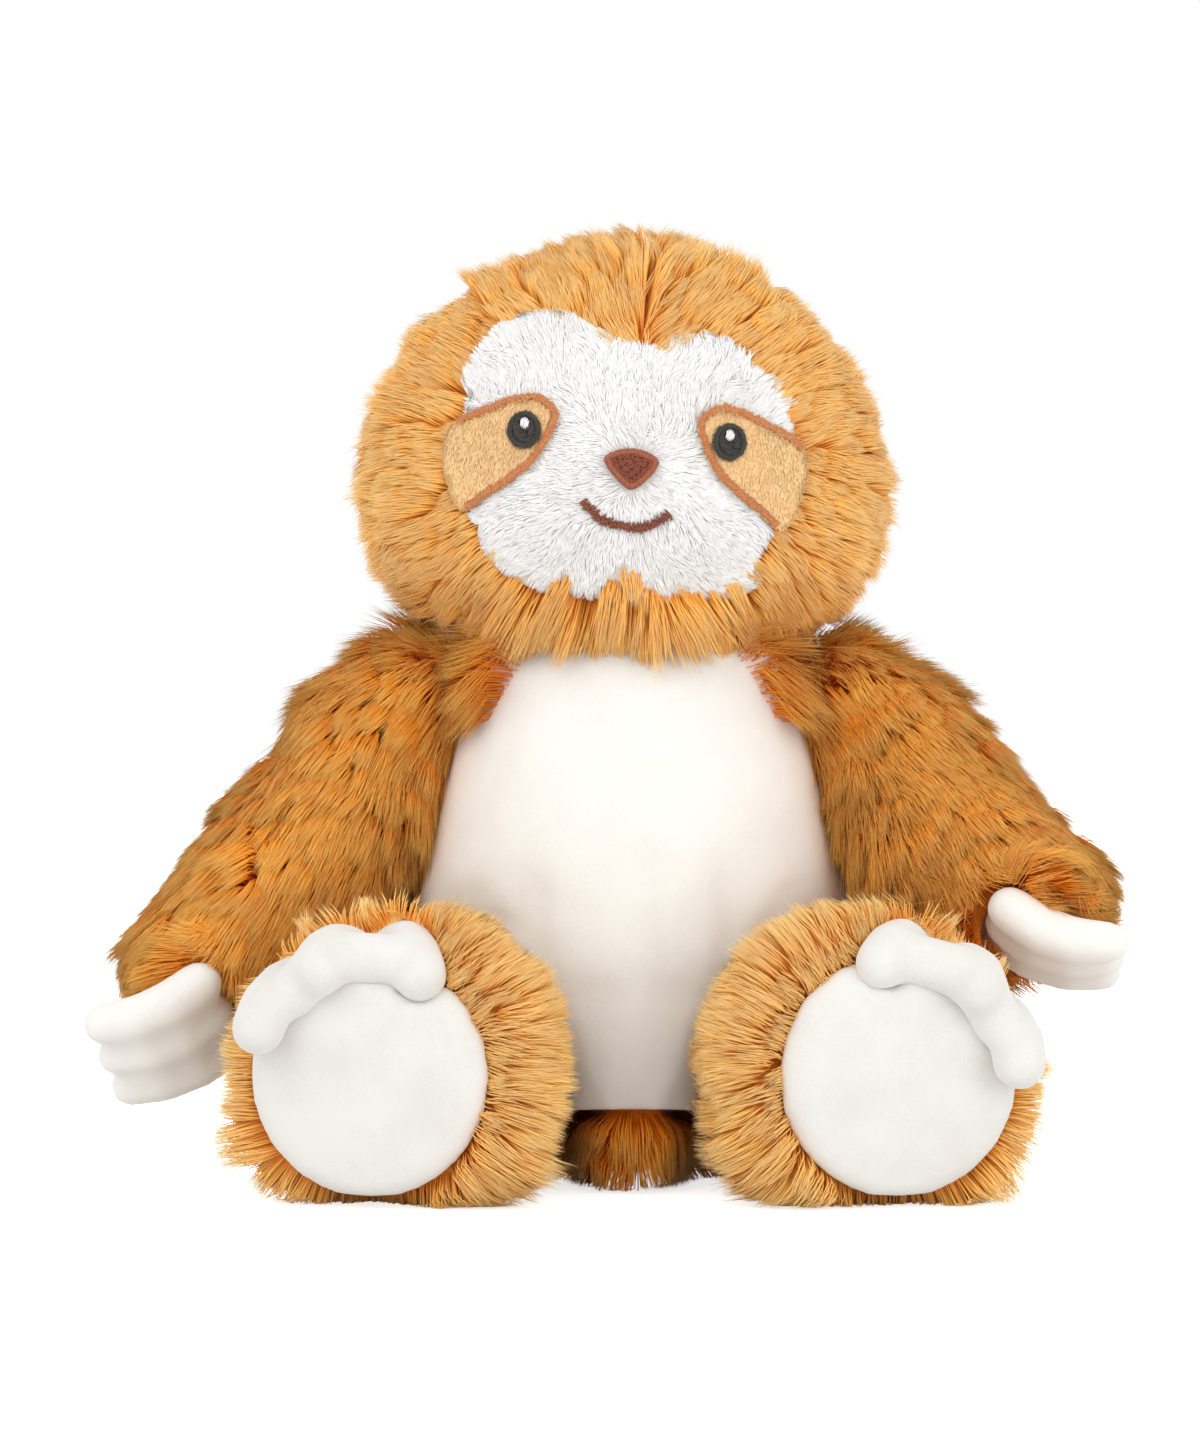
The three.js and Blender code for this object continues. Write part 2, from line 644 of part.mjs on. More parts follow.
for (const { name, sign } of sides) {
  const { centre, normal, up } = shoulder(sign);
  const gussetTop = centre.clone().addScaledVector(up, gussetRadius).addScaledVector(normal, clearance);
  const gusset = new THREE.CylinderGeometry(gussetRadius, gussetRadius, gussetThickness, torsoSides);
  gusset.applyQuaternion(new THREE.Quaternion().setFromUnitVectors(vec(0, 1, 0), normal));
  const gussetCentre = centre.clone().addScaledVector(normal, clearance + gussetThickness / 2);
  const gussetGroup = addGroup(toy, gussetTop);
  const gussetSolid = solidOf(gusset.translate(gussetCentre.x, gussetCentre.y, gussetCentre.z));
  addPiece(gussetGroup, `shoulder_gusset_${name}`, gussetSolid, materials.limbFur);

  const armGroup = addGroup(gussetGroup, centre);
  const sections = armSections[name].map(({ out, radius }) => ({
    at: onSide(out, sign).add(centre), wide: radius, high: radius,
  }));
  const armForm = (grow) => limb(sections, {
    ...limbDivisions, grow, upright: vec(0, 1, 0), startRound: armStartRound, endRound: pawRound,
  });

  const { rootSide, along, row } = hands[name];
  const paw = sections.at(-1);
  const root = onSide(rootSide, sign).setLength(paw.wide - clawInset).add(paw.at);
  const reach = onSide(along, sign).setLength(clawLength);
  const across = row.clone().projectOnPlane(along.clone().normalize());
  const spacing = onSide(across, sign).setLength(2 * clawRootRadius + clawGap);
  const bulge = spacing.clone().cross(reach).setLength(clawCurve).multiplyScalar(sign);
  const claw = (index, setBack = 0, options = {}) => {
    const rowPlace = root.clone().addScaledVector(spacing, index);
    const from = rowPlace.clone().addScaledVector(reach, -setBack / clawLength);
    return finger(from, rowPlace.add(reach), bulge, clawRootRadius, clawTipRadius, options);
  };
  const clawNames = ['inner', 'middle', 'outer'];
  const clawAngles = [0, clawBendRange * sign];
  const pocketShape = { grow: swingClearance, room: true, halfWidth: spacing.length() };
  const pocket = claw(1, clawRootRadius / 2, pocketShape);
  const clawRoom = swept(pocket, root, spacing, clawAngles);

  const gussetOuter = centre.clone().addScaledVector(normal, 2 * clearance + gussetThickness);
  const armCuts = [
    halfSpace(gussetOuter, normal.clone().negate()),
    clawRoom,
    legForm(sign, 2 * swingClearance),
    headSweep(),
  ];
  const armShell = cut(armForm(0), armForm(-coverThickness), ...armCuts);
  addPiece(armGroup, `arm_cover_${name}`, armShell, materials.limbFur);
  const armCore = cut(armForm(-coverThickness - clearance), ...armCuts);
  addPiece(armGroup, `arm_stuffing_${name}`, armCore, materials.stuffing);

  const clawGroup = addGroup(armGroup, root);
  clawNames.forEach((clawName, index) => {
    addPiece(clawGroup, `hand_claw_${clawName}_${name}`, claw(index), materials.white);
  });
}

// Legs: cover, sole, stuffing and toes

for (const { name, sign } of sides) {
  const legGroup = addGroup(toy, onSide(hipCentre, sign));
  const end = onSide(legSections.at(-1).at, sign);
  const soleCentre = end.clone().add(vec(soleShift * sign, 0, -soleDrop));
  const legAlong = end.clone().sub(onSide(legSections.at(-2).at, sign)).normalize();
  const faceForward = new THREE.Quaternion().setFromUnitVectors(vec(0, 1, 0), legAlong);
  const soleDisc = (radius, back, front, crown) => {
    const profile = [new THREE.Vector2(0, back)];
    profile.push(new THREE.Vector2(radius, back), new THREE.Vector2(radius, front));
    for (let turn = 30; turn <= 90; turn += 30) {
      const out = Math.max(radius * Math.cos(degrees(turn)), 0);
      profile.push(new THREE.Vector2(turn === 90 ? 0 : out, front + crown * Math.sin(degrees(turn))));
    }
    const disc = new THREE.LatheGeometry(profile, torsoSides);
    disc.applyQuaternion(faceForward);
    return solidOf(disc.translate(soleCentre.x, soleCentre.y, soleCentre.z));
  };
  const soleBack = soleRound - coverThickness;
  const sole = soleDisc(soleRadius, soleBack, soleBack + soleThickness, soleCrown);
  const soleOpening = soleDisc(soleRadius + clearance, -coverThickness / 2, 2 * soleRound, 0);

  const roll = footRoll[name];
  const rimPoint = (angle, distance, forward) => {
    const turn = degrees(angle + roll);
    return soleCentre.clone().add(vec(Math.sin(turn) * distance * sign, 0, Math.cos(turn) * distance))
      .addScaledVector(legAlong, forward);
  };
  const toe = ({ rootAngle, tipAngle }, options) => {
    const root = rimPoint(rootAngle, toeRootReach, -toeRootDepth);
    const tip = rimPoint(tipAngle, toeTipReach, toeTipForward);
    const bulge = rimPoint(rootAngle, clawCurve, 0).sub(soleCentre);
    return finger(root, tip, bulge, toeRadius, toeTipRadius, options);
  };
  const toeHinge = rimPoint(0, toeRootReach, -toeRootDepth);
  const toeAxis = rimPoint(90, 1, 0).sub(soleCentre).multiplyScalar(-sign);
  const toeAngles = [0, toeBendRange];
  const between = toes.slice(1).map((one, index) => ({
    rootAngle: (one.rootAngle + toes[index].rootAngle) / 2,
    tipAngle: (one.tipAngle + toes[index].tipAngle) / 2,
  }));
  const toeRoom = joined([...toes, ...between].map((one) => {
    return swept(toe(one, { grow: swingClearance, room: true }), toeHinge, toeAxis, toeAngles);
  }));

  const cover = cut(legForm(sign), legForm(sign, -coverThickness), soleOpening, toeRoom, floor);
  addPiece(legGroup, `leg_cover_${name}`, cover, materials.footFur);
  addPiece(legGroup, `sole_panel_${name}`, cut(sole, toeRoom), materials.white);
  const stuffing = cut(legForm(sign, -coverThickness - clearance), toeRoom);
  addPiece(legGroup, `leg_stuffing_${name}`, stuffing, materials.stuffing);

  const toeGroup = addGroup(legGroup, toeHinge);
  for (const one of toes) {
    addPiece(toeGroup, `toe_${one.name}_${name}`, toe(one), materials.white);
  }
}

export default toy;
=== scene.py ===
import json
import math

import bmesh
import bpy
import numpy as np
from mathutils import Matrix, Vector, noise
from mathutils.bvhtree import BVHTree
from mathutils.geometry import delaunay_2d_cdt
from mathutils.kdtree import KDTree


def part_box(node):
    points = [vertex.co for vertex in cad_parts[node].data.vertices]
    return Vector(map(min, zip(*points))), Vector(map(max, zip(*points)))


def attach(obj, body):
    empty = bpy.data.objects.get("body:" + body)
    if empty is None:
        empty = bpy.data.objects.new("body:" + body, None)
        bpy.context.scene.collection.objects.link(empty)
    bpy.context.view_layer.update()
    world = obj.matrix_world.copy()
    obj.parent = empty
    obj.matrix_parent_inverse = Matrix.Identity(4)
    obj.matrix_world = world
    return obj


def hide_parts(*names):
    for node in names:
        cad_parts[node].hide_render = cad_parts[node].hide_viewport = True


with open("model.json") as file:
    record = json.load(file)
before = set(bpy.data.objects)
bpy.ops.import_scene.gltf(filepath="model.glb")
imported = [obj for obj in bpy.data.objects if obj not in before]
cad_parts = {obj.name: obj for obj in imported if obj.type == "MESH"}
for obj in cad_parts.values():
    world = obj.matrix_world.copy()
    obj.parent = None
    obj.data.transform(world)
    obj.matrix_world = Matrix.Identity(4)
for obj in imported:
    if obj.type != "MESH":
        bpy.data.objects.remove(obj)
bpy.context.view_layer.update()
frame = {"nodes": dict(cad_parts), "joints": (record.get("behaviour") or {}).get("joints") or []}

MM = 0.001
SIDES = {"right": -1, "left": 1}
FINGERS = ("inner", "middle", "outer")

# Camera, taken from the photograph
CAMERA_DISTANCE = 1600 * MM
CAMERA_X = -9.3 * MM
CAMERA_HEIGHT = 134.6 * MM
VIEW_HEIGHT = 414.4 * MM
SENSOR = 36
FLOOR_RADIUS = 8
SOFT_BOXES = [((-0.9, -1.5, 1.2), 8.7, 1.4), ((1.1, -1.4, 0.4), 7.3, 1.2)]
LIGHT_AIM = (0, 0, 0.13)

# Skins: insets and swells against the CAD forms, how far cloth puffs, and what forms are rebuilt by
PILE_INSET = 5.5 * MM
LEG_PILE_INSET = 3.5 * MM
TUMMY_SWELL = 1.5 * MM
CLAW_SWELL = 0.4 * MM
TOE_SWELL = 0.9 * MM
SOLE_SWELL = 2.2 * MM
TUMMY_PUFF = 2.5 * MM
FINGER_PUFF = 0.8 * MM
SOLE_PUFF = 1.5 * MM
HEAD_CLOSE = 5 * MM
TORSO_CLOSE = 6 * MM
ARM_CLOSE = 8 * MM
LEG_CLOSE = 9 * MM
CLAW_CLOSE = 4 * MM
TOE_CLOSE = 2.4 * MM
SKIN_VOXEL = 2.5 * MM
TORSO_VOXEL = 3 * MM
SOLE_VOXEL = 1.5 * MM
FINGER_VOXEL = 1.2 * MM
NECK_RISE = 7 * MM
NECK_DEPTH = 26 * MM
TOE_BAND_RADIUS = 6 * MM
TOE_BAND_FORWARD = 7 * MM
VELOUR_THICKNESS = 2 * MM
LABEL_THICKNESS = 0.35 * MM
LABEL_CURL = 1.6 * MM
FLOOR_GAP = 0.4 * MM

# Pile: how many strands each part has, and how long they are
HOOD_PILE = (105000, 16 * MM)
FACE_PILE = (62000, 3.6 * MM)
PATCH_NAP = (9000, 1.3 * MM)
TORSO_PILE = (90000, 15 * MM)
ARM_PILE = (48000, 15.5 * MM)
LEG_PILE = (60000, 11.5 * MM)
PIECE_STRANDS = 21000

# Strands: their form, their leans in radians, and how they gather into tufts
STRAND_RADIUS = 0.2 * MM
STRAND_STEPS = 2
STRAND_TAPER = 0.45
STRAND_STRAY = 0.09
LEVELLING = 0.8
FIRST_LEAN = (0.02, 1.35)
LAST_LEAN = (0.1, 1.75)
PUSH_AWAY = 2.2
NOISE_SEED = 3
TUFT_DRIFT = 16 * MM
TUFT_SWIRL = 5 * MM
LIMB_TIGHTNESS = (0.05, 0.42)

# Where the pile of torso and limbs ends or changes, and how near it comes to white velour
TOP_FADE = 24 * MM
SEAT_PARTING = 14 * MM
SEAT_PILE_SHARE = 0.95
SEAM_MARGIN = 1 * MM
SHOULDER_FRINGE = 13 * MM
SHOULDER_END = 14 * MM
SHOULDER_FADE = 26 * MM
CLAW_ROOTS = 3.5 * MM
CLAW_CLEARANCE = 14 * MM
TOE_CLEARANCE = 9 * MM
SOLE_CLEARANCE = 3 * MM
SOLE_MARGIN = 1 * MM
SOLE_DEPTH = 14 * MM
RIM_FADE = 30 * MM
LOW_PILE_TOP = 30 * MM
LOW_PILE_FADE = 22 * MM
LAY_SOURCE = 26 * MM

# Face, in the head's own upright plane: X to its left, Z up from its centre, in millimetres
PUPIL_CENTRE = (28.3, 13.5)
PUPIL_SIZE = (10, 10.8)
GLINT_CENTRE = (28, 15.2)
GLINT_SIZE = (2.4, 3.2)
FACE_OUTLINE = [
    (-24, 47.9), (-41.9, 38.4), (-50, 15.3), (-51.4, 0.7), (-46.3, -10.5),
    (-38.7, -19.6), (-24.2, -29.3), (6, -30.1), (35.8, -27.7), (45.7, -10.1),
    (52.3, 6.3), (48.2, 23.3), (29, 40.4), (16.3, 43.3), (2.5, 38.8),
]
PATCH_OUTLINE = [
    (19, 18), (23.5, 23.4), (29.5, 24), (39, 20.5), (50.2, 14.2),
    (51.4, 3), (46, -10), (37.6, -5.6), (30, 0), (23.6, 6.6),
]
BORDER_WIDTH = 2.4
NOSE_OUTLINE = [
    (-5.9, 6.6), (-2.8, 9.2), (1.7, 10), (6.2, 9.2), (9.3, 6.6), (6.9, 2.2), (2, -1.4), (-3, 2.2),
]
MOUTH_LINE = [(-11.1, -5.3), (-7.2, -9), (-1.7, -11.6), (4.4, -12), (9.4, -10.3), (13.4, -7.5)]
MOUTH_WIDTH = 2.5
EYE_SIDE = 36
EYE_SIDE_HEIGHT = 24
EYE_OVERLAP = 3.0
HOOD_OVERLAP = 5.0
CHIN_TOP = -15
CHIN_TUFTS = 20
EDGE_TUFTS = 3.5
EDGE_TUFT_SIZE = 7
FACE_TUFT_SEED = 3.1
MOUTH_ROOTS = 0.9
CHIN_FRINGE_TOP = -20
CHIN_FRINGE_HALF = 40
FACE_LAY_CENTRE = (2, 4)
HOOD_LAY_CENTRE = (1, 6)
HOOD_LAY_AHEAD = 34 * MM
HEAD_FRONT_FADE = 20 * MM
HEAD_BACK_FADE = 30 * MM
PARTING_X = 3
PARTING_FROM = 26
PARTING_REACH = 14


# Materials

def srgb(red, green, blue):
    """A colour as seen on screen, 0 to 255, as the shader wants it."""
    return tuple((value / 255) ** 2.2 for value in (red, green, blue)) + (1,)


def new_material(name, **constants):
    """A Principled material and its node tree. Constants go on the shader's own sockets."""
    material = bpy.data.materials.new(name)
    material.use_nodes = True
    tree = material.node_tree
    shader = tree.nodes["Principled BSDF"]
    for socket, value in constants.items():
        shader.inputs[socket.replace("_", " ")].default_value = value
    return material, tree, shader


def add_node(tree, kind, inputs=None, **settings):
    """A node with its settings, whose inputs are values or other nodes' outputs."""
    made = tree.nodes.new(kind)
    for name, value in settings.items():
        setattr(made, name, value)
    for name, value in (inputs or {}).items():
        if isinstance(value, bpy.types.NodeSocket):
            tree.links.new(value, made.inputs[name])
        else:
            made.inputs[name].default_value = value
    return made


def ramp(tree, factor, stops):
    """A colour ramp with stops of a place and a colour as seen on screen."""
    made = add_node(tree, "ShaderNodeValToRGB", {"Fac": factor})
    elements = made.color_ramp.elements
    while len(elements) < len(stops):
        elements.new(0.5)
    for element, (place, colour) in zip(elements, stops):
        element.position = place
        element.color = srgb(*colour)
    return made.outputs["Color"]


def surface(tree, shader, tone, height, strength, depth):
    """Gives a shader its colour and a relief."""
    relief = add_node(tree, "ShaderNodeBump", {"Strength": strength, "Distance": depth, "Height": height})
    tree.links.new(tone, shader.inputs["Base Color"])
    tree.links.new(relief.outputs["Normal"], shader.inputs["Normal"])


def pile_material(name, root, middle, tip, tone=(0.86, 1.12)):
    """Long pile: darker at the root, which is painted shade among the strands, lighter at the tip, and each
    strand in its own tone.
    """
    material, tree, shader = new_material(
        name, Roughness=0.5, Specular_IOR_Level=0.22, Sheen_Weight=0.2, Sheen_Roughness=0.4,
        Sheen_Tint=(1, 0.66, 0.34, 1))
    uv = add_node(tree, "ShaderNodeUVMap", uv_map="StrandTone")
    parts = add_node(tree, "ShaderNodeSeparateXYZ", {0: uv.outputs["UV"]})
    # The darker root colour is painted shade, where the strands shade each other near the skin.
    colour = ramp(tree, parts.outputs["Y"], [(0.0, root), (0.45, middle), (1.0, tip)])
    value = add_node(tree, "ShaderNodeMapRange", {0: parts.outputs["X"], 3: tone[0], 4: tone[1]})
    hue = add_node(tree, "ShaderNodeMapRange", {0: parts.outputs["X"], 3: 0.494, 4: 0.506})
    toned = add_node(tree, "ShaderNodeHueSaturation",
                     {"Hue": hue.outputs[0], "Value": value.outputs[0], "Color": colour})
    tree.links.new(toned.outputs["Color"], shader.inputs["Base Color"])
    return material


def cloth_material(name, colour, shade, bump=0.25):
    """Velour or knitted backing: a fine nap in relief, and brushed patches a little darker."""
    grain, patch = 0.35 * MM, 9 * MM
    material, tree, shader = new_material(
        name, Roughness=0.85, Specular_IOR_Level=0.2, Sheen_Weight=0.5, Sheen_Roughness=0.45)
    place = add_node(tree, "ShaderNodeTexCoord").outputs["Object"]
    nap = add_node(tree, "ShaderNodeTexNoise", {"Vector": place, "Scale": 1 / (2 * grain), "Detail": 3})
    brushed = add_node(tree, "ShaderNodeTexNoise", {"Vector": place, "Scale": 1 / (2 * patch), "Detail": 2})
    mixed = add_node(tree, "ShaderNodeMix", {0: 0.35, 2: brushed.outputs["Fac"], 3: nap.outputs["Fac"]})
    tone = ramp(tree, mixed.outputs[0], [(0.38, shade), (0.56, colour)])
    surface(tree, shader, tone, nap.outputs["Fac"], bump, grain)
    return material


def thread_material(name, colour, shade):
    """Embroidery thread: twisted, with a low gloss."""
    material, tree, shader = new_material(
        name, Roughness=0.42, Specular_IOR_Level=0.45, Sheen_Weight=0.2, Sheen_Roughness=0.3)
    place = add_node(tree, "ShaderNodeTexCoord").outputs["Object"]
    fibres = add_node(tree, "ShaderNodeTexNoise", {"Vector": place, "Scale": 1 / (0.4 * MM), "Detail": 4})
    tone = ramp(tree, fibres.outputs["Fac"], [(0.35, shade), (0.62, colour)])
    surface(tree, shader, tone, fibres.outputs["Fac"], 0.3, 0.1 * MM)
    return material


def tape_material(name, colour, shade):
    """Woven tape: fine crossing threads."""
    material, tree, shader = new_material(name, Roughness=0.5, Specular_IOR_Level=0.35, Sheen_Weight=0.1)
    place = add_node(tree, "ShaderNodeTexCoord").outputs["Object"]
    waves = [
        add_node(tree, "ShaderNodeTexWave", {"Vector": place, "Scale": 1 / (3 * MM)}, bands_direction=axis)
        for axis in ("Y", "Z")]
    woven = add_node(tree, "ShaderNodeMath", {0: waves[0].outputs["Fac"], 1: waves[1].outputs["Fac"]},
                     operation="MULTIPLY")
    tone = ramp(tree, woven.outputs[0], [(0.0, shade), (0.4, colour)])
    surface(tree, shader, tone, woven.outputs[0], 0.4, 0.1 * MM)
    return material


# Each pile's root, middle and tip colours, and its tone range; the darker roots are painted shade among the
# strands.
PILES = {
    "head_pile": [(252, 137, 30), (255, 178, 80), (255, 214, 144)],
    "body_pile": [(246, 114, 0), (253, 146, 22), (255, 202, 108)],
    # leg_pile is the body's pile painted lighter, for the light that falls on the legs from the front.
    "leg_pile": [(255, 145, 36), (255, 185, 92), (255, 219, 150)],
    "face_pile": [(252, 251, 248), (254, 253, 251), (255, 255, 254), (0.97, 1.01)],
    "patch_nap": [(244, 188, 122), (255, 210, 150), (255, 220, 168), (0.9, 1.04)],
}
CLOTHS = {
    "head_backing": [(240, 158, 66), (226, 142, 52)],
    "body_backing": [(222, 122, 24), (206, 104, 12)],
    "leg_backing": [(240, 158, 66), (226, 142, 52)],
    "white_velour": [(227, 225, 220), (221, 218, 212), 0.18],
    # The tummy and the claws take the white velour painted lighter, against the shade that falls on them.
    "velour_painted_lighter": [(240, 238, 232), (235, 232, 226), 0.18],
    "patch_velour": [(236, 188, 130), (222, 170, 108), 0.5],
}
THREADS = {
    "border_thread": [(222, 148, 92), (176, 102, 54)],
    "black_thread": [(66, 62, 56), (40, 37, 33)],
    "white_thread": [(246, 244, 246), (226, 222, 228)],
    "brown_thread": [(150, 82, 56), (108, 48, 28)],
    "nose_edge_thread": [(178, 104, 74), (140, 72, 48)],
}
MATERIALS = {
    **{name: pile_material(name, *looks) for name, looks in PILES.items()},
    **{name: cloth_material(name, *looks) for name, looks in CLOTHS.items()},
    **{name: thread_material(name, *looks) for name, looks in THREADS.items()},
    "label_tape": tape_material("label_tape", (247, 246, 242), (228, 226, 220)),
}


# Meshes

def link(name, data, material=None):
    made = bpy.data.objects.new(name, data)
    bpy.context.collection.objects.link(made)
    if material:
        data.materials.append(MATERIALS[material])
    return made


def mesh_of(name, verts, faces):
    mesh = bpy.data.meshes.new(name)
    mesh.from_pydata([tuple(point) for point in verts], [], [tuple(int(i) for i in face) for face in faces])
    mesh.shade_smooth()
    mesh.update()
    return mesh


def settle(obj):
    """Applies an object's modifiers to its mesh."""
    graph = bpy.context.evaluated_depsgraph_get()
    mesh = bpy.data.meshes.new_from_object(obj.evaluated_get(graph))
    obj.modifiers.clear()
    obj.data = mesh
    mesh.shade_smooth()
    return obj


def arrays(mesh):
    """A mesh's vertices, vertex normals and triangles."""
    mesh.calc_loop_triangles()

    def read(items, name, kind):
        values = np.empty(3 * len(items), dtype=kind)
        items.foreach_get(name, values)
        return values.reshape(-1, 3)

    return (read(mesh.vertices, "co", float), read(mesh.vertices, "normal", float),
            read(mesh.loop_triangles, "vertices", np.int32))


def move_to(obj, points):
    obj.data.vertices.foreach_set("co", points.ravel())
    obj.data.update()


def modify(obj, kind, **settings):
    modifier = obj.modifiers.new(kind, kind)
    for name, value in settings.items():
        setattr(modifier, name, value)


def keep_largest(obj):
    """Deletes every loose body of a mesh but the one with the most vertices."""
    bm = bmesh.new()
    bm.from_mesh(obj.data)
    left = set(bm.verts)
    bodies = []
    while left:
        found = set()
        edge = [left.pop()]
        while edge:
            vert = edge.pop()
            found.add(vert)
            near = {e.other_vert(vert) for e in vert.link_edges} & left
            left -= near
            edge.extend(near)
        bodies.append(found)
    largest = max(bodies, key=len)
    loose = [vert for body in bodies if body is not largest for vert in body]
    bmesh.ops.delete(bm, geom=loose, context="VERTS")
    bm.to_mesh(obj.data)
    bm.free()


def soft_form(name, nodes, close, inset, voxel=SKIN_VOXEL, smoothing=12, extra=None):
    """One smooth closed skin round CAD nodes and an extra mesh.
    Rooms narrower than twice close are filled, and the skin lies by inset inside the nodes."""
    bm = bmesh.new()
    for node in nodes:
        bm.from_mesh(frame["nodes"][node].data)
    if extra:
        added = mesh_of(f"{name}_extra", *extra)
        bm.from_mesh(added)
        bpy.data.meshes.remove(added)
    mesh = bpy.data.meshes.new(name)
    bm.to_mesh(mesh)
    bm.free()
    obj = link(name, mesh)
    for distance in (close, -close - inset):
        modify(obj, "REMESH", mode="VOXEL", voxel_size=voxel)
        modify(obj, "DISPLACE", strength=distance, mid_level=0)
    modify(obj, "REMESH", mode="VOXEL", voxel_size=voxel)
    settle(obj)
    keep_largest(obj)
    modify(obj, "SMOOTH", factor=0.5, iterations=smoothing)
    return settle(obj)


def inflate(obj, cap):
    """Swells a stuffed form with cloth under pressure, and lets no point move further than cap."""
    rest = arrays(obj.data)[0]
    cloth = obj.modifiers.new("Cloth", "CLOTH")
    cloth.settings.quality = 5
    cloth.settings.use_pressure = True
    cloth.settings.uniform_pressure_force = 4
    cloth.settings.effector_weights.gravity = 0
    scene = bpy.context.scene
    for number in range(1, 21):
        scene.frame_set(number)
    graph = bpy.context.evaluated_depsgraph_get()
    swollen = arrays(obj.evaluated_get(graph).to_mesh())[0]
    move = swollen - rest
    reach = np.linalg.norm(move, axis=1, keepdims=True)
    move *= np.minimum(1, cap / np.maximum(reach, 1e-9))
    obj.modifiers.clear()
    scene.frame_set(1)
    move_to(obj, rest + move)


def bisected(obj, name, point, normal):
    """A copy of a piece, kept on the side of a plane that its normal points to."""
    bm = bmesh.new()
    bm.from_mesh(obj.data)
    geometry = [*bm.verts, *bm.edges, *bm.faces]
    bmesh.ops.bisect_plane(bm, geom=geometry, plane_co=point, plane_no=normal, clear_inner=True)
    mesh = bpy.data.meshes.new(name)
    bm.to_mesh(mesh)
    bm.free()
    return link(name, mesh)


def tree_of(obj):
    verts, _, triangles = arrays(obj.data)
    return BVHTree.FromPolygons([Vector(v) for v in verts], triangles.tolist())


def dress(obj, body, nodes=(), material=None):
    """Sets a piece on its body in its finish, in place of CAD nodes."""
    if material:
        obj.data.materials.append(MATERIALS[material])
    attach(obj, body)
    if nodes:
        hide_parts(*nodes)


# Outlines in a plane

def smooth_outline(points, divisions=6, closed=True):
    """Catmull-Rom points through an outline or a line."""
    points = np.array(points, dtype=float)
    count = len(points)
    if not closed:
        points = np.vstack([2 * points[0] - points[1], points, 2 * points[-1] - points[-2]])
    made = []
    for index in range(count if closed else count - 1):
        if closed:
            a, b, c, d = (points[(index + step) % count] for step in (-1, 0, 1, 2))
        else:
            a, b, c, d = points[index:index + 4]
        for t in np.arange(divisions) / divisions:
            made.append(0.5 * (2 * b + (c - a) * t + (2 * a - 5 * b + 4 * c - d) * t ** 2
                               + (3 * b - a - 3 * c + d) * t ** 3))
    if not closed:
        made.append(points[-2])
    return np.array(made)


def ellipse(centre, size, divisions=20):
    turn = 2 * np.pi * np.arange(divisions) / divisions
    return np.stack([centre[0] + size[0] / 2 * np.cos(turn), centre[1] + size[1] / 2 * np.sin(turn)], axis=1)


def inside(points, outline):
    """Whether each point of the plane lies inside an outline."""
    result = np.zeros(len(points), dtype=bool)
    for (x1, z1), (x2, z2) in zip(outline, np.roll(outline, -1, axis=0)):
        between = (z1 > points[:, 1]) != (z2 > points[:, 1])
        cross = x1 + (points[:, 1] - z1) * (x2 - x1) / (z2 - z1 if z2 != z1 else 1e-12)
        result ^= between & (points[:, 0] < cross)
    return result


def outline_distance(points, outline):
    """How far each point lies outside an outline, below zero where it is inside."""
    nearest = np.full(len(points), np.inf)
    for corner in outline:
        nearest = np.minimum(nearest, np.linalg.norm(points - corner, axis=1))
    return np.where(inside(points, outline), -nearest, nearest)


def widened(outline, distance):
    """An outline moved outwards along its own normals."""
    along = np.roll(outline, -1, axis=0) - np.roll(outline, 1, axis=0)
    normal = unit(np.stack([along[:, 1], -along[:, 0]], axis=1))
    x, z = outline.T
    area = np.sum(x * np.roll(z, -1) - z * np.roll(x, -1))
    return outline + normal * distance * np.sign(area)


# Pile: strands of three sides that grow from a skin

def unit(vectors):
    return vectors / np.maximum(np.linalg.norm(vectors, axis=-1, keepdims=True), 1e-12)


def tangent(vectors, normals):
    return unit(vectors - np.sum(vectors * normals, axis=-1, keepdims=True) * normals)


def scatter(mesh, count, rng):
    """Random places on a mesh, with their normals."""
    verts, normals, triangles = arrays(mesh)
    corners = verts[triangles]
    area = np.linalg.norm(np.cross(corners[:, 1] - corners[:, 0], corners[:, 2] - corners[:, 0]), axis=1)
    pick = rng.choice(len(triangles), count, p=area / area.sum())
    share = rng.random((count, 2))
    over = share.sum(axis=1) > 1
    share[over] = 1 - share[over]
    weights = np.stack([1 - share.sum(axis=1), share[:, 0], share[:, 1]], axis=1)[:, :, None]
    return (corners[pick] * weights).sum(axis=1), unit((normals[triangles[pick]] * weights).sum(axis=1))


def strand_paths(roots, normals, flow, length, lean, droop):
    """Points along each strand: it rises at the first lean from the normal and bends to the second."""
    points = [roots]
    for step in range(STRAND_STEPS):
        share = (step + 0.5) / STRAND_STEPS
        angle = (lean[0] + (lean[1] - lean[0]) * share)[:, None]
        way = normals * np.cos(angle) + flow * np.sin(angle)
        way[:, 2] -= droop * share
        points.append(points[-1] + unit(way) * (length / STRAND_STEPS)[:, None])
    return np.stack(points, axis=1)


# Left unseeded, the noise takes its seed from the clock
noise.seed_set(NOISE_SEED)


def noise_at(points, size, offset):
    """Smooth noise vectors of a given size at points."""
    shift = Vector((offset, offset * 1.7, offset * 2.3))
    return np.array([noise.noise_vector(Vector(p) / size + shift) for p in points])


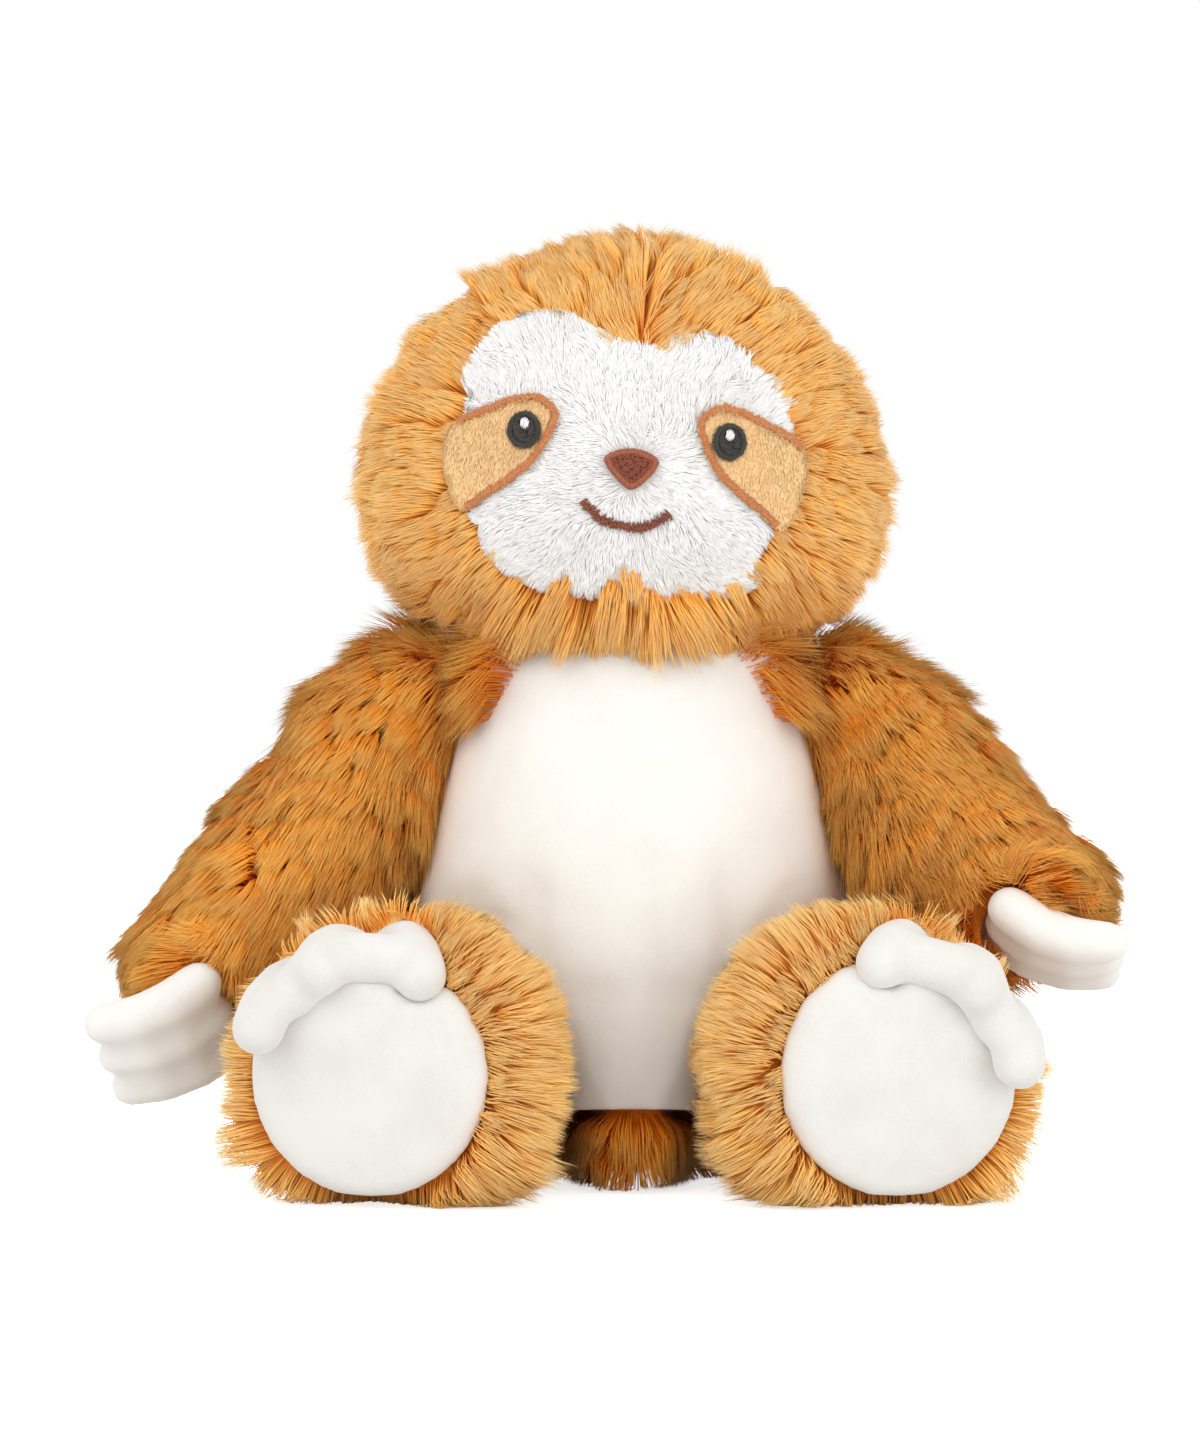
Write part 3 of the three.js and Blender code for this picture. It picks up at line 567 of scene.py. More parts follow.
def strand_mesh(name, paths, normals, radius, tones, softness):
    """A mesh of three-sided strands that end in a point. Each vertex holds its strand's tone and its place.
    A strand's flat outer side is shaded towards the skin's normal by softness, its inner edge by its own."""
    count, rows, _ = paths.shape
    rings = rows - 1
    along = unit(np.gradient(paths, axis=1))
    side = unit(np.cross(along, normals[:, None, :]))
    other = np.cross(side, along)
    turn = 2 * np.pi * np.arange(3) / 3 - np.pi / 2
    radial = side[:, :rings, None] * np.cos(turn)[:, None] + other[:, :rings, None] * np.sin(turn)[:, None]
    share = np.arange(rows) / rings
    thick = radius[:, None] * (1 - STRAND_TAPER * share[:rings] ** 1.5)
    body = paths[:, :rings, None] + radial * thick[:, :, None, None]
    verts = np.concatenate([body.reshape(count, -1, 3), paths[:, -1:]], axis=1)
    lengthwise = LEVELLING * np.sum(normals[:, None] * along, axis=-1, keepdims=True)
    facing = unit(normals[:, None] - lengthwise * along)
    blend = np.array([0, softness, softness])[:, None]
    sides = radial * (1 - blend) + facing[:, :rings, None] * blend
    tip = along[:, -1:] * (1 - softness) + facing[:, -1:] * softness
    shading = unit(np.concatenate([sides.reshape(count, -1, 3), tip], axis=1))
    per = 3 * rings + 1
    faces = []
    for ring in range(rings - 1):
        for corner in range(3):
            a, b = 3 * ring + corner, 3 * ring + (corner + 1) % 3
            faces += [(b, a, b + 3), (a, a + 3, b + 3)]
    last = 3 * (rings - 1)
    faces += [(last + (corner + 1) % 3, last + corner, per - 1) for corner in range(3)]
    index = (np.arange(count)[:, None, None] * per + np.array(faces)[None]).reshape(-1)
    mesh = bpy.data.meshes.new(name)
    mesh.vertices.add(count * per)
    mesh.vertices.foreach_set("co", verts.ravel())
    mesh.loops.add(len(index))
    mesh.loops.foreach_set("vertex_index", index.astype(np.int32))
    mesh.polygons.add(len(index) // 3)
    mesh.polygons.foreach_set("loop_start", np.arange(0, len(index), 3, dtype=np.int32))
    mesh.update(calc_edges=True)
    place = np.empty((count, per, 2))
    place[:, :, 0] = np.clip(tones, 0.02, 0.98)[:, None] + np.tile([-0.004, 0.004, 0.0], rings + 1)[:per]
    place[:, :, 1] = np.append(np.repeat(share[:rings], 3), 1.0) * 0.96 + 0.02
    for layer in ("StrandTone", "OFBake"):
        mesh.uv_layers.new(name=layer).data.foreach_set("uv", place.reshape(-1, 2)[index].ravel())
    mesh.shade_smooth()
    mesh.normals_split_custom_set_from_vertices(shading.reshape(-1, 3))
    return mesh


def grow(name, skin, seed, pile, flow, material, body, *, keep, lean=(8, 98), droop=0.1,
         radius=STRAND_RADIUS, clump=60, tightness=(0.1, 0.55), swirl=0.34, scale=None, softness=0.6,
         split=(0, 0, 1), clear=(), rise=None):
    """Grows pile, a number of strands and their length, on a skin.
    flow gives each root's lay and keep says where roots may stand. scale is a factor on the length, and rise
    says by how many degrees a strand stands up more than lean. Strands lean away from each (tree, reach) of
    clear. The pile is split into pieces of up to PIECE_STRANDS, in bands along split."""
    rng = np.random.default_rng(seed)
    count, length = pile
    roots, normals = scatter(skin.data, count, rng)
    kept = keep(roots, normals)
    roots, normals = roots[kept], normals[kept]
    count = len(roots)
    centres = rng.choice(count, max(count // clump, 1), replace=False)
    tree = KDTree(len(centres))
    for number, centre in enumerate(centres):
        tree.insert(roots[centre], number)
    tree.balance()
    own = np.array([tree.find(point)[1] for point in roots])
    drift = noise_at(roots[centres], TUFT_DRIFT, seed * 0.37)
    fine = noise_at(roots[centres], TUFT_SWIRL, seed * 0.61)
    lay = unit(flow(roots, normals)) + swirl * (drift + 0.6 * fine)[own]
    lay += rng.normal(0, STRAND_STRAY, (count, 3))
    away = np.zeros((count, 3))
    for near_tree, reach in clear:
        for number, point in enumerate(roots):
            place, _, _, distance = near_tree.find_nearest(Vector(point), reach)
            if place is not None:
                away[number] += (point - np.array(place)) / max(distance, 1e-6) * (1 - distance / reach)
    lay = tangent(lay + PUSH_AWAY * away, normals)
    push = np.linalg.norm(away, axis=1)
    clump_length = rng.normal(1, 0.1, len(centres)).clip(0.75, 1.3) * (1 + 0.25 * drift[:, 2])
    size = length * clump_length[own] * rng.normal(1, 0.07, count).clip(0.7, 1.25)
    if scale is not None:
        size *= scale(roots, normals)
    bend = np.radians(lean[0]) + 0.25 * drift[own, 0] + rng.normal(0, 0.08, count)
    bend_end = np.radians(lean[1]) + 0.35 * fine[own, 1] + rng.normal(0, 0.12, count)
    if rise is not None:
        lifted = np.radians(rise(roots, normals))
        bend, bend_end = bend - lifted, bend_end - 0.6 * lifted
    bend = np.clip(bend + 0.5 * push, *FIRST_LEAN)
    paths = strand_paths(roots, normals, lay, size, (bend, np.clip(bend_end, *LAST_LEAN)), droop)
    share = np.linspace(0, 1, STRAND_STEPS + 1)[None, :, None] ** 1.3
    tight = rng.uniform(*tightness, len(centres))[own][:, None, None]
    paths += (paths[centres][own] - paths) * share * tight
    paths[:, :, 2] = np.maximum(paths[:, :, 2], FLOOR_GAP + rng.random((count, 1)) * 0.4 * MM)
    tones = 0.5 + 0.3 * drift[own, 1] + rng.normal(0, 0.12, len(centres))[own] + rng.normal(0, 0.08, count)
    thick = radius * rng.uniform(0.8, 1.2, count)
    bands = np.array_split(np.argsort(roots @ np.array(split)), math.ceil(count / PIECE_STRANDS))
    for number, chosen in enumerate(bands, 1):
        part = name if len(bands) == 1 else f"{name}_{number}"
        mesh = strand_mesh(part, paths[chosen], normals[chosen], thick[chosen], tones[chosen], softness)
        dress(link(part, mesh, material), body)


def facing_side(normals, sign):
    """How far the skin at each root faces one side, from 0 to 1."""
    return np.clip(sign * normals[:, 0], 0, 1)


def joint_place(name):
    """Where a joint of the frame turns."""
    joint = next(one for one in frame["joints"] if one["name"] == name)
    return np.array(joint["pos_m"], dtype=float)


def box_corners(node):
    return [np.array(corner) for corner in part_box(node)]


def box_centre(node):
    low, high = box_corners(node)
    return (low + high) / 2


# Head

right_pupil, left_pupil = box_centre("pupil_right"), box_centre("pupil_left")
across_head = unit((left_pupil - right_pupil) * np.array([1, 0, 1]))
up_head = np.array([-across_head[2], 0, across_head[0]])
head_centre = (right_pupil + left_pupil) / 2 - up_head * PUPIL_CENTRE[1] * MM
head_centre[1] = box_centre("head_stuffing")[1]


def on_head(points):
    """Places in the face's own plane, in millimetres, of points in space."""
    shift = points - head_centre
    return np.stack([shift @ across_head, shift @ up_head], axis=1) / MM


HEAD_NODES = ["hood_panel_right", "hood_panel_left", "face_panel", "head_stuffing"]
head_form = soft_form("head_form", HEAD_NODES, close=HEAD_CLOSE, inset=0, smoothing=24)
head_tree = tree_of(head_form)


def face_point(x, z, lift):
    """The point of the head's front at a place of the face's plane, in millimetres, lifted off it."""
    start = Vector(head_centre + (across_head * x + up_head * z) * MM - np.array([0, 200 * MM, 0]))
    place, normal, _, _ = head_tree.ray_cast(start, Vector((0, 1, 0)))
    return np.array(place + normal * lift * MM)


def face_sheet(name, outline, material, spacing, lift, thickness):
    """A panel on the head's front inside an outline, given a thickness."""
    columns, rows = (np.arange(values.min(), values.max(), spacing) for values in outline.T)
    grid = np.stack(np.meshgrid(columns, rows), -1).reshape(-1, 2)
    grid = grid[outline_distance(grid, outline) < -0.6 * spacing]
    points = [Vector(p) for p in np.vstack([outline, grid])]
    edges = [(i, (i + 1) % len(outline)) for i in range(len(outline))]
    flat, _, faces, *_ = delaunay_2d_cdt(points, edges, [], 1, 1e-4)
    mesh = mesh_of(name, [face_point(x, z, lift) for x, z in flat], faces)
    obj = link(name, mesh, material)
    bm = bmesh.new()
    bm.from_mesh(mesh)
    bmesh.ops.recalc_face_normals(bm, faces=bm.faces)
    if sum(face.normal.y * face.calc_area() for face in bm.faces) > 0:
        bmesh.ops.reverse_faces(bm, faces=bm.faces)
    bm.to_mesh(mesh)
    bm.free()
    modify(obj, "SOLIDIFY", thickness=thickness * MM, offset=-1)
    return settle(obj)


def tube_between(points, radius, sides=4):
    """Rings of a thin tube through points, closed at both ends, as vertices and faces."""
    points = np.array(points)
    along = unit(np.gradient(points, axis=0))
    side = unit(np.cross(along, np.array([0.0, 1.0, 0.0])))
    other = np.cross(side, along)
    turn = 2 * np.pi * np.arange(sides) / sides
    ends = np.array([0.45] + [1.0] * (len(points) - 2) + [0.45])
    rings = [p + radius * end * (s * math.cos(t) + o * math.sin(t))
             for p, s, o, end in zip(points, side, other, ends) for t in turn]
    faces = []
    for ring in range(len(points) - 1):
        for corner in range(sides):
            a, b = ring * sides + corner, ring * sides + (corner + 1) % sides
            faces.append((a, b, b + sides, a + sides))
    faces.append(tuple(reversed(range(sides))))
    faces.append(tuple(range((len(points) - 1) * sides, len(points) * sides)))
    return rings, faces


def embroider(name, stitches, radius, lift, crown, material, nodes=()):
    """Stitches between pairs of places of the face's plane, each a thread that arches over the cloth."""
    verts, faces = [], []
    for start, end in stitches:
        points = []
        for share in (0, 0.25, 0.5, 0.75, 1):
            x, z = np.array(start) * (1 - share) + np.array(end) * share
            points.append(face_point(x, z, lift + crown * math.sin(math.pi * share)))
        ring, quads = tube_between(points, radius * MM)
        faces += [tuple(index + len(verts) for index in quad) for quad in quads]
        verts += ring
    dress(link(name, mesh_of(name, verts, faces), material), "head", nodes)


def satin(line, half_width, spacing, rng, closed=True, ragged=0.12):
    """Stitches across a line, close together, with slightly uneven ends."""
    ring = np.vstack([line, line[:1]]) if closed else line
    place = np.append(0, np.cumsum(np.linalg.norm(np.diff(ring, axis=0), axis=1)))
    marks = np.arange(0, place[-1], spacing)
    middle, ahead, behind = (
        np.stack([np.interp(marks + shift, place, ring[:, axis]) for axis in (0, 1)], axis=1)
        for shift in (0, spacing, -spacing))
    along = unit(ahead - behind)
    across = unit(np.stack([-along[:, 1], along[:, 0]], axis=1) + 0.25 * along)
    reach = half_width * (1 + rng.normal(0, ragged, (2, len(marks), 1)).clip(-0.6, 0.6))
    return list(zip(middle - across * reach[0], middle + across * reach[1]))


def fill_stitches(outline, angle, spacing, longest, rng):
    """Rows of parallel stitches that fill an outline."""
    turn = math.radians(angle)
    along = np.array([math.cos(turn), math.sin(turn)])
    across = np.array([-along[1], along[0]])
    depth = outline @ across
    made = []
    for row in np.arange(depth.min() + spacing / 2, depth.max(), spacing):
        crossings = []
        for a, b in zip(outline, np.roll(outline, -1, axis=0)):
            da, db = a @ across - row, b @ across - row
            if da * db < 0:
                crossings.append((a + (b - a) * da / (da - db)) @ along)
        for low, high in zip(sorted(crossings)[::2], sorted(crossings)[1::2]):
            cuts = max(1, round((high - low) / longest))
            jitter = rng.uniform(-0.25, 0.25, cuts + 1) * (high - low) / cuts
            jitter[[0, -1]] = 0
            marks = np.linspace(low, high, cuts + 1) + jitter
            for start, end in zip(marks[:-1], marks[1:]):
                made.append((along * start + across * row, along * end + across * row))
    return made


face_edge = smooth_outline(FACE_OUTLINE)
patch_edges = {
    name: smooth_outline([(x * sign, z) for x, z in PATCH_OUTLINE]) for name, sign in SIDES.items()}
nose_edge = smooth_outline(NOSE_OUTLINE)
mouth_path = smooth_outline(MOUTH_LINE, closed=False)


def beside_eyes(plane):
    """How far a place of the face lies towards the outer end of an eye patch, from 0 to 1."""
    return np.clip((np.abs(plane[:, 0]) - EYE_SIDE) / 6, 0, 1) * (np.abs(plane[:, 1]) < EYE_SIDE_HEIGHT)


def ragged_edge(plane):
    """Distance outside the face's edge, with the edge worn into tufts, mostly along the chin."""
    tuft = noise_at(np.column_stack([plane, np.zeros(len(plane))]), EDGE_TUFT_SIZE, FACE_TUFT_SEED)[:, 0]
    depth = np.where(plane[:, 1] < CHIN_TOP, CHIN_TUFTS, EDGE_TUFTS)
    return outline_distance(plane, face_edge) + tuft * depth + EYE_OVERLAP * beside_eyes(plane)


def build_face():
    """The white panel with its short pile, and everything embroidered on it."""
    rng = np.random.default_rng(11)
    panel_edge = widened(face_edge, 1.5 - (EYE_OVERLAP + 1.5) * beside_eyes(face_edge)[:, None])
    panel = face_sheet("face_panel_pad", panel_edge, "white_velour", spacing=2.5, lift=-1.0, thickness=3.0)
    dress(panel, "head", ["face_panel"])
    masked = [widened(edge, 0.3) for edge in patch_edges.values()] + [widened(nose_edge, 0.2)]

    def bare(roots, normals):
        plane = on_head(roots)
        kept = (ragged_edge(plane) < 0.5) & (normals[:, 1] < 0)
        for edge in masked:
            kept &= ~inside(plane, edge)
        mouth = np.min([np.linalg.norm(plane - p, axis=1) for p in mouth_path], axis=0)
        return kept & (mouth > MOUTH_ROOTS)

    def lay(roots, normals):
        plane = on_head(roots)
        way = plane - np.array(FACE_LAY_CENTRE)
        return across_head * way[:, :1] + up_head * way[:, 1:]

    grow("face_pile", panel, 21, FACE_PILE, lay, "face_pile", "head", keep=bare,
         lean=(62, 100), radius=0.17 * MM, clump=30, swirl=1.0, droop=0.05, tightness=(0.05, 0.3),
         softness=0.95)
    for name, sign in SIDES.items():
        build_eye(name, sign, rng)
    build_nose(rng)
    line = satin(mouth_path, MOUTH_WIDTH / 2, 0.36, rng, closed=False, ragged=0.45)
    embroider("mouth_stitches", line, 0.28, lift=-0.5, crown=1.8, material="brown_thread", nodes=["mouth"])


def build_eye(name, sign, rng):
    """One eye patch with its nap and satin border, its pupil and the glint on it."""
    edge = patch_edges[name]
    patch = face_sheet(f"eye_patch_{name}_velour", widened(edge, -BORDER_WIDTH / 3), "patch_velour",
                       spacing=2.0, lift=1.0, thickness=1.2)
    dress(patch, "head", [f"eye_patch_{name}"])
    grow(f"eye_patch_{name}_nap", patch, 27 + sign, PATCH_NAP,
         lambda roots, normals: np.tile(-up_head, (len(roots), 1)), "patch_nap", "head",
         keep=lambda roots, normals: normals[:, 1] < -0.2, lean=(60, 95), radius=0.16 * MM, clump=20,
         swirl=0.5, tightness=(0.0, 0.3), softness=1.0)
    middle = widened(edge, -BORDER_WIDTH / 2)
    shown = [pair for pair in satin(middle, BORDER_WIDTH / 2, 0.46, rng, ragged=0.2)
             if outline_distance((pair[0] + pair[1])[None] / 2, face_edge)[0] < -EYE_OVERLAP]
    embroider(f"eye_patch_{name}_satin_edge", shown, 0.27, lift=1.3, crown=0.4, material="border_thread",
              nodes=[f"eye_patch_border_{name}"])
    pupil_edge = ellipse((PUPIL_CENTRE[0] * sign, PUPIL_CENTRE[1]), PUPIL_SIZE)
    rim = satin(widened(pupil_edge, -1.0), 0.95, 0.5, rng)
    stitches = rim + fill_stitches(widened(pupil_edge, -1.6), 35, 0.5, 3.0, rng)
    embroider(f"pupil_{name}_stitches", stitches, 0.33, lift=1.9, crown=0.5, material="black_thread",
              nodes=[f"pupil_{name}"])
    glint_edge = ellipse((GLINT_CENTRE[0] * sign, GLINT_CENTRE[1]), GLINT_SIZE)
    embroider(f"pupil_glint_{name}_stitches", fill_stitches(glint_edge, 82, 0.45, 4.0, rng), 0.3, lift=2.6,
              crown=0.4, material="white_thread", nodes=[f"pupil_glint_{name}"])


def build_nose(rng):
    """The embroidered nose: a satin edge, two crossing layers of filling and a pad of cloth under them."""
    ring = satin(widened(nose_edge, -1.0), 1.0, 0.38, rng)
    fills = [stitch for angle in (25, -40) for stitch in
             fill_stitches(widened(nose_edge, -1.2), angle, 0.55, 1.9, rng)]
    embroider("nose_satin_edge", ring, 0.28, lift=1.5, crown=0.9, material="nose_edge_thread")
    embroider("nose_fill_stitches", fills, 0.3, lift=1.5, crown=0.5, material="brown_thread", nodes=["nose"])
    base = face_sheet("nose_base_cloth", nose_edge, "brown_thread", spacing=1.5, lift=1.2, thickness=1.8)
    dress(base, "head")


def forward_share(roots):
    """How far a root lies in front of the head's middle, from 0 to 1."""
    return np.clip((head_centre[1] - roots[:, 1]) / HEAD_FRONT_FADE, 0, 1)


def chin_share(roots):
    """How far a root belongs to the fringe under the chin, from 0 to 1."""
    across, up = on_head(roots).T
    return (forward_share(roots) * np.clip((CHIN_FRINGE_TOP - up) / 10, 0, 1)
            * np.clip((CHIN_FRINGE_HALF - np.abs(across)) / 12, 0, 1))


def build_hood():
    """The head's stuffed skin and the long pile of the hood, parted at the seam over the crown."""
    skin = soft_form("hood_skin", HEAD_NODES, close=HEAD_CLOSE, inset=PILE_INSET)
    dress(skin, "head", ["hood_panel_right", "hood_panel_left", "head_stuffing"],
          material="head_backing")
    source = face_point(*HOOD_LAY_CENTRE, lift=0) - np.array([0, HOOD_LAY_AHEAD, 0])

    def keep(roots, normals):
        front = (normals[:, 1] < 0.2) & (roots[:, 1] < head_centre[1])
        return ~(front & (ragged_edge(on_head(roots)) < -HOOD_OVERLAP))

    def lay(roots, normals):
        way = unit(roots - source)
        way[:, 2] -= np.clip((roots[:, 1] - head_centre[1]) / HEAD_BACK_FADE, 0, 1.6)
        across, up = on_head(roots).T
        beside = across - PARTING_X
        fade = np.exp(-np.abs(beside) / PARTING_REACH) * np.sign(beside)
        parting = np.clip((up - PARTING_FROM) / 10, 0, 1) * fade
        return way + across_head * parting[:, None] * 0.36

    def scale(roots, normals):
        plane = on_head(roots)
        edge = outline_distance(plane, face_edge)
        front = forward_share(roots)
        chin = chin_share(roots)
        near = 1 - 0.4 * front * (1 - chin) * np.exp(-np.clip(edge, 0, None) / 9)
        crown = np.clip(normals[:, 2], 0, 1) ** 2
        lock = crown * np.exp(-((plane[:, 0] - PARTING_X) / 4) ** 2) * front
        return near * (1 + 0.4 * chin + 0.1 * crown + 0.35 * lock)

    grow("hood_pile", skin, 5, HOOD_PILE, lay, "head_pile", "head", keep=keep, scale=scale,
         rise=lambda roots, normals: 8 * chin_share(roots), split=(0, 1, 0))


# Torso

def raise_top(obj):
    """Draws the top of a form up into the room under the chin, where a soft body would press."""
    points = arrays(obj.data)[0]
    share = np.clip((points[:, 2] - points[:, 2].max() + NECK_DEPTH) / NECK_DEPTH, 0, 1)
    points[:, 2] += NECK_RISE * share ** 2 * (3 - 2 * share)
    move_to(obj, points)


def build_torso():
    """The stuffed torso: a white tummy, and long pile on the back and the seat."""
    pile_nodes = ["back_panel_right", "back_panel_left", "seat_panel", "body_stuffing", "seat_bean_bag"]
    nodes = ["tummy_panel", *pile_nodes]
    body = soft_form("torso_form", nodes, close=TORSO_CLOSE, inset=-TUMMY_SWELL, voxel=TORSO_VOXEL,
                     smoothing=24)
    inflate(body, TUMMY_PUFF)
    raise_top(body)
    (_, front_y, front_z), (_, seam_y, _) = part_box("tummy_panel")
    (_, _, back_z), (_, back_y, top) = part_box("back_panel_left")
    seat_normal = Vector((0, front_z - back_z, back_y - front_y)).normalized()
    seat_point = Vector((0, front_y, front_z))
    front = bisected(body, "tummy_front", (0, seam_y, 0), (0, -1, 0))
    tummy = bisected(front, "velour_painted_lighter", seat_point, seat_normal)
    bpy.data.objects.remove(front)
    bpy.data.objects.remove(body)
    modify(tummy, "SOLIDIFY", thickness=VELOUR_THICKNESS, offset=-1)
    modify(tummy, "SUBSURF", levels=1, render_levels=1)
    # The tummy's velour is the white velour painted lighter, against the shade on the tummy.
    dress(settle(tummy), "torso", ["tummy_panel"], material="velour_painted_lighter")
    skin = soft_form("torso_skin", nodes, close=TORSO_CLOSE, inset=PILE_INSET, voxel=TORSO_VOXEL)
    raise_top(skin)
    dress(skin, "torso", pile_nodes, material="body_backing")

    def top_share(roots):
        return np.clip(1 - (top - roots[:, 2]) / TOP_FADE, 0, 1)

    def above_seat(points):
        return (points - np.array(seat_point)) @ np.array(seat_normal) > 0

    def scale(roots, normals):
        beside = np.clip((np.abs(normals[:, 0]) - 0.5) * 2, 0, 1)
        return np.where(above_seat(roots), 1 + 0.8 * top_share(roots) + 0.3 * beside, SEAT_PILE_SHARE)

    def lay(roots, normals):
        above = above_seat(roots)
        way = np.zeros_like(roots)
        way[:, 2] = -1
        way[:, 1] = np.where(above, 0.15, 0)
        way[:, 0] = np.where(above, 0, 0.35 * np.clip(roots[:, 0] / SEAT_PARTING, -1, 1))
        return way

    def keep(roots, normals):
        back = roots[:, 1] > seam_y + SEAM_MARGIN
        fringe = (top_share(roots) > 0.3) & (roots[:, 1] > seam_y - SHOULDER_FRINGE)
        above = above_seat(roots)
        return ((back | fringe) & above) | (~above & (normals[:, 2] > -0.75))

    grow("torso_pile", skin, 7, TORSO_PILE, lay, "body_pile", "torso", keep=keep,
         scale=scale, rise=lambda roots, normals: 45 * top_share(roots))


def build_neck():
    """The stuffed ball that the head turns on, in a sleeve of pile backing."""
    ball = soft_form("neck_sleeve", ["neck_stuffing"], close=0, inset=0.5 * MM, smoothing=6)
    dress(ball, "neck", ["neck_stuffing"], material="head_backing")


def build_label():
    """The blank care label: a tape in the seam of the back, with a slight curl."""
    low, high = box_corners("care_label")
    width, height = high[1] - low[1], high[2] - low[2]
    columns, rows = 10, 12
    verts = []
    for row in range(rows + 1):
        for column in range(columns + 1):
            out = column / columns
            y = low[1] - PILE_INSET + (width + PILE_INSET) * out
            z = low[2] + height * row / rows
            x = (low[0] + high[0]) / 2 + LABEL_CURL * math.sin(2.4 * out) * (0.4 + row / rows)
            verts.append((x, y, z))
    stride = columns + 1
    faces = [(r * stride + c, r * stride + c + 1, (r + 1) * stride + c + 1, (r + 1) * stride + c)
             for r in range(rows) for c in range(columns)]
    label = link("care_label_tape", mesh_of("care_label_tape", verts, faces), "label_tape")
    modify(label, "SOLIDIFY", thickness=LABEL_THICKNESS, offset=0)
    dress(settle(label), "torso", ["care_label"])


# Arms

def velour_fingers(name, nodes, body, close, swell, material, extra=None):
    """Stuffed white fingers with a groove between them. Gives back the tree that pile keeps clear of."""
    obj = soft_form(name, nodes, close=close, inset=-swell, voxel=FINGER_VOXEL, smoothing=8, extra=extra)
    inflate(obj, FINGER_PUFF)
    dress(obj, body, nodes, material=material)
    return tree_of(obj)


def build_arm(name, sign):
    """One arm: gusset, claws, stuffed skin and long pile that runs down to the paw."""
    gusset_nodes = [f"shoulder_gusset_{name}"]
    gusset = soft_form(f"shoulder_gusset_{name}_pad", gusset_nodes, close=0, inset=0, voxel=FINGER_VOXEL,
                       smoothing=3)
    dress(gusset, f"shoulder_{name}", gusset_nodes, material="body_backing")
    claw_nodes = [f"hand_claw_{part}_{name}" for part in FINGERS]
    # The claws take the white velour painted lighter, against the shade on them.
    claws_tree = velour_fingers(f"hand_claws_{name}_velour", claw_nodes, f"hand_claws_{name}", CLAW_CLOSE,
                                CLAW_SWELL, "velour_painted_lighter")
    arm_nodes = [f"arm_cover_{name}", f"arm_stuffing_{name}"]
    skin = soft_form(f"arm_skin_{name}", arm_nodes, close=ARM_CLOSE, inset=PILE_INSET)
    dress(skin, f"arm_{name}", arm_nodes, material="body_backing")
    shoulder = joint_place(f"arm_swing_{name}")
    along = unit(joint_place(f"hand_claws_bend_{name}") - shoulder)

    def shoulder_share(roots):
        return np.clip((SHOULDER_END - (roots - shoulder) @ along) / SHOULDER_FADE, 0, 1)

    def lay(roots, normals):
        way = np.tile(along, (len(roots), 1))
        way[:, 2] -= 0.15
        return way + shoulder_share(roots)[:, None] * np.array([0.5 * sign, -0.5, 0.45])

    def keep(roots, normals):
        return np.array([claws_tree.find_nearest(Vector(p))[3] for p in roots]) > CLAW_ROOTS

    def scale(roots, normals):
        longer = np.maximum(0.55 * facing_side(normals, -sign), 0.35 * shoulder_share(roots))
        return 1 + longer - 0.12 * facing_side(normals, sign)

    def rise(roots, normals):
        return 20 * np.maximum(facing_side(normals, -sign), shoulder_share(roots))

    grow(f"arm_pile_{name}", skin, 31 + sign, ARM_PILE, lay, "body_pile", f"arm_{name}",
         keep=keep, scale=scale, rise=rise, split=along, tightness=LIMB_TIGHTNESS,
         clear=[(claws_tree, CLAW_CLEARANCE)])


# Legs

def build_leg(name, sign):
    """One leg: stuffed skin, white sole, three toes, and pile that radiates from the sole's edge."""
    toe_nodes = [f"toe_{part}_{name}" for part in FINGERS]
    across_toes = smooth_outline([box_centre(node) for node in toe_nodes], divisions=8, closed=False)
    across_toes[:, 1] -= TOE_BAND_FORWARD
    band = tube_between(across_toes, TOE_BAND_RADIUS, sides=12)
    toes_tree = velour_fingers(f"toes_{name}_velour", toe_nodes, f"toes_{name}", TOE_CLOSE, TOE_SWELL,
                               "white_velour", extra=band)
    sole_node = f"sole_panel_{name}"
    sole = soft_form(f"sole_{name}_velour", [sole_node], close=LEG_CLOSE, inset=-SOLE_SWELL, voxel=SOLE_VOXEL,
                     smoothing=14)
    inflate(sole, SOLE_PUFF)
    dress(sole, f"leg_{name}", [sole_node], material="white_velour")
    leg_nodes = [f"leg_cover_{name}", f"leg_stuffing_{name}"]
    skin = soft_form(f"leg_skin_{name}", leg_nodes, close=LEG_CLOSE, inset=LEG_PILE_INSET)
    dress(skin, f"leg_{name}", leg_nodes, material="leg_backing")
    sole_middle = box_centre(sole_node)
    low, high = box_corners(sole_node)
    radius = (high[0] - low[0]) / 2
    along = unit(sole_middle - joint_place(f"leg_swing_{name}"))
    source = sole_middle + along * LAY_SOURCE

    def rim_share(roots):
        return np.clip(1 + ((roots - sole_middle) @ along) / RIM_FADE, 0, 1)

    def keep(roots, normals):
        shift = roots - sole_middle
        ahead = shift @ along
        across = np.linalg.norm(shift - ahead[:, None] * along, axis=1)
        return ~((across < radius - SOLE_MARGIN) & (ahead > -SOLE_DEPTH))

    def scale(roots, normals):
        low = np.clip((LOW_PILE_TOP - roots[:, 2]) / LOW_PILE_FADE, 0, 1)
        longer = (0.4 + 0.5 * facing_side(normals, sign)) * low * rim_share(roots)
        return 1 + longer + 0.3 * facing_side(normals, -sign)

    # The legs' pile is the body's pile painted lighter, for the light that falls on them from the front.
    grow(f"leg_pile_{name}", skin, 41 + sign, LEG_PILE, lambda roots, normals: roots - source, "leg_pile",
         f"leg_{name}", keep=keep, scale=scale,
         rise=lambda roots, normals: 8 * rim_share(roots), split=along, tightness=LIMB_TIGHTNESS,
         clear=[(toes_tree, TOE_CLEARANCE), (tree_of(sole), SOLE_CLEARANCE)])


# Stage: floor, light and camera

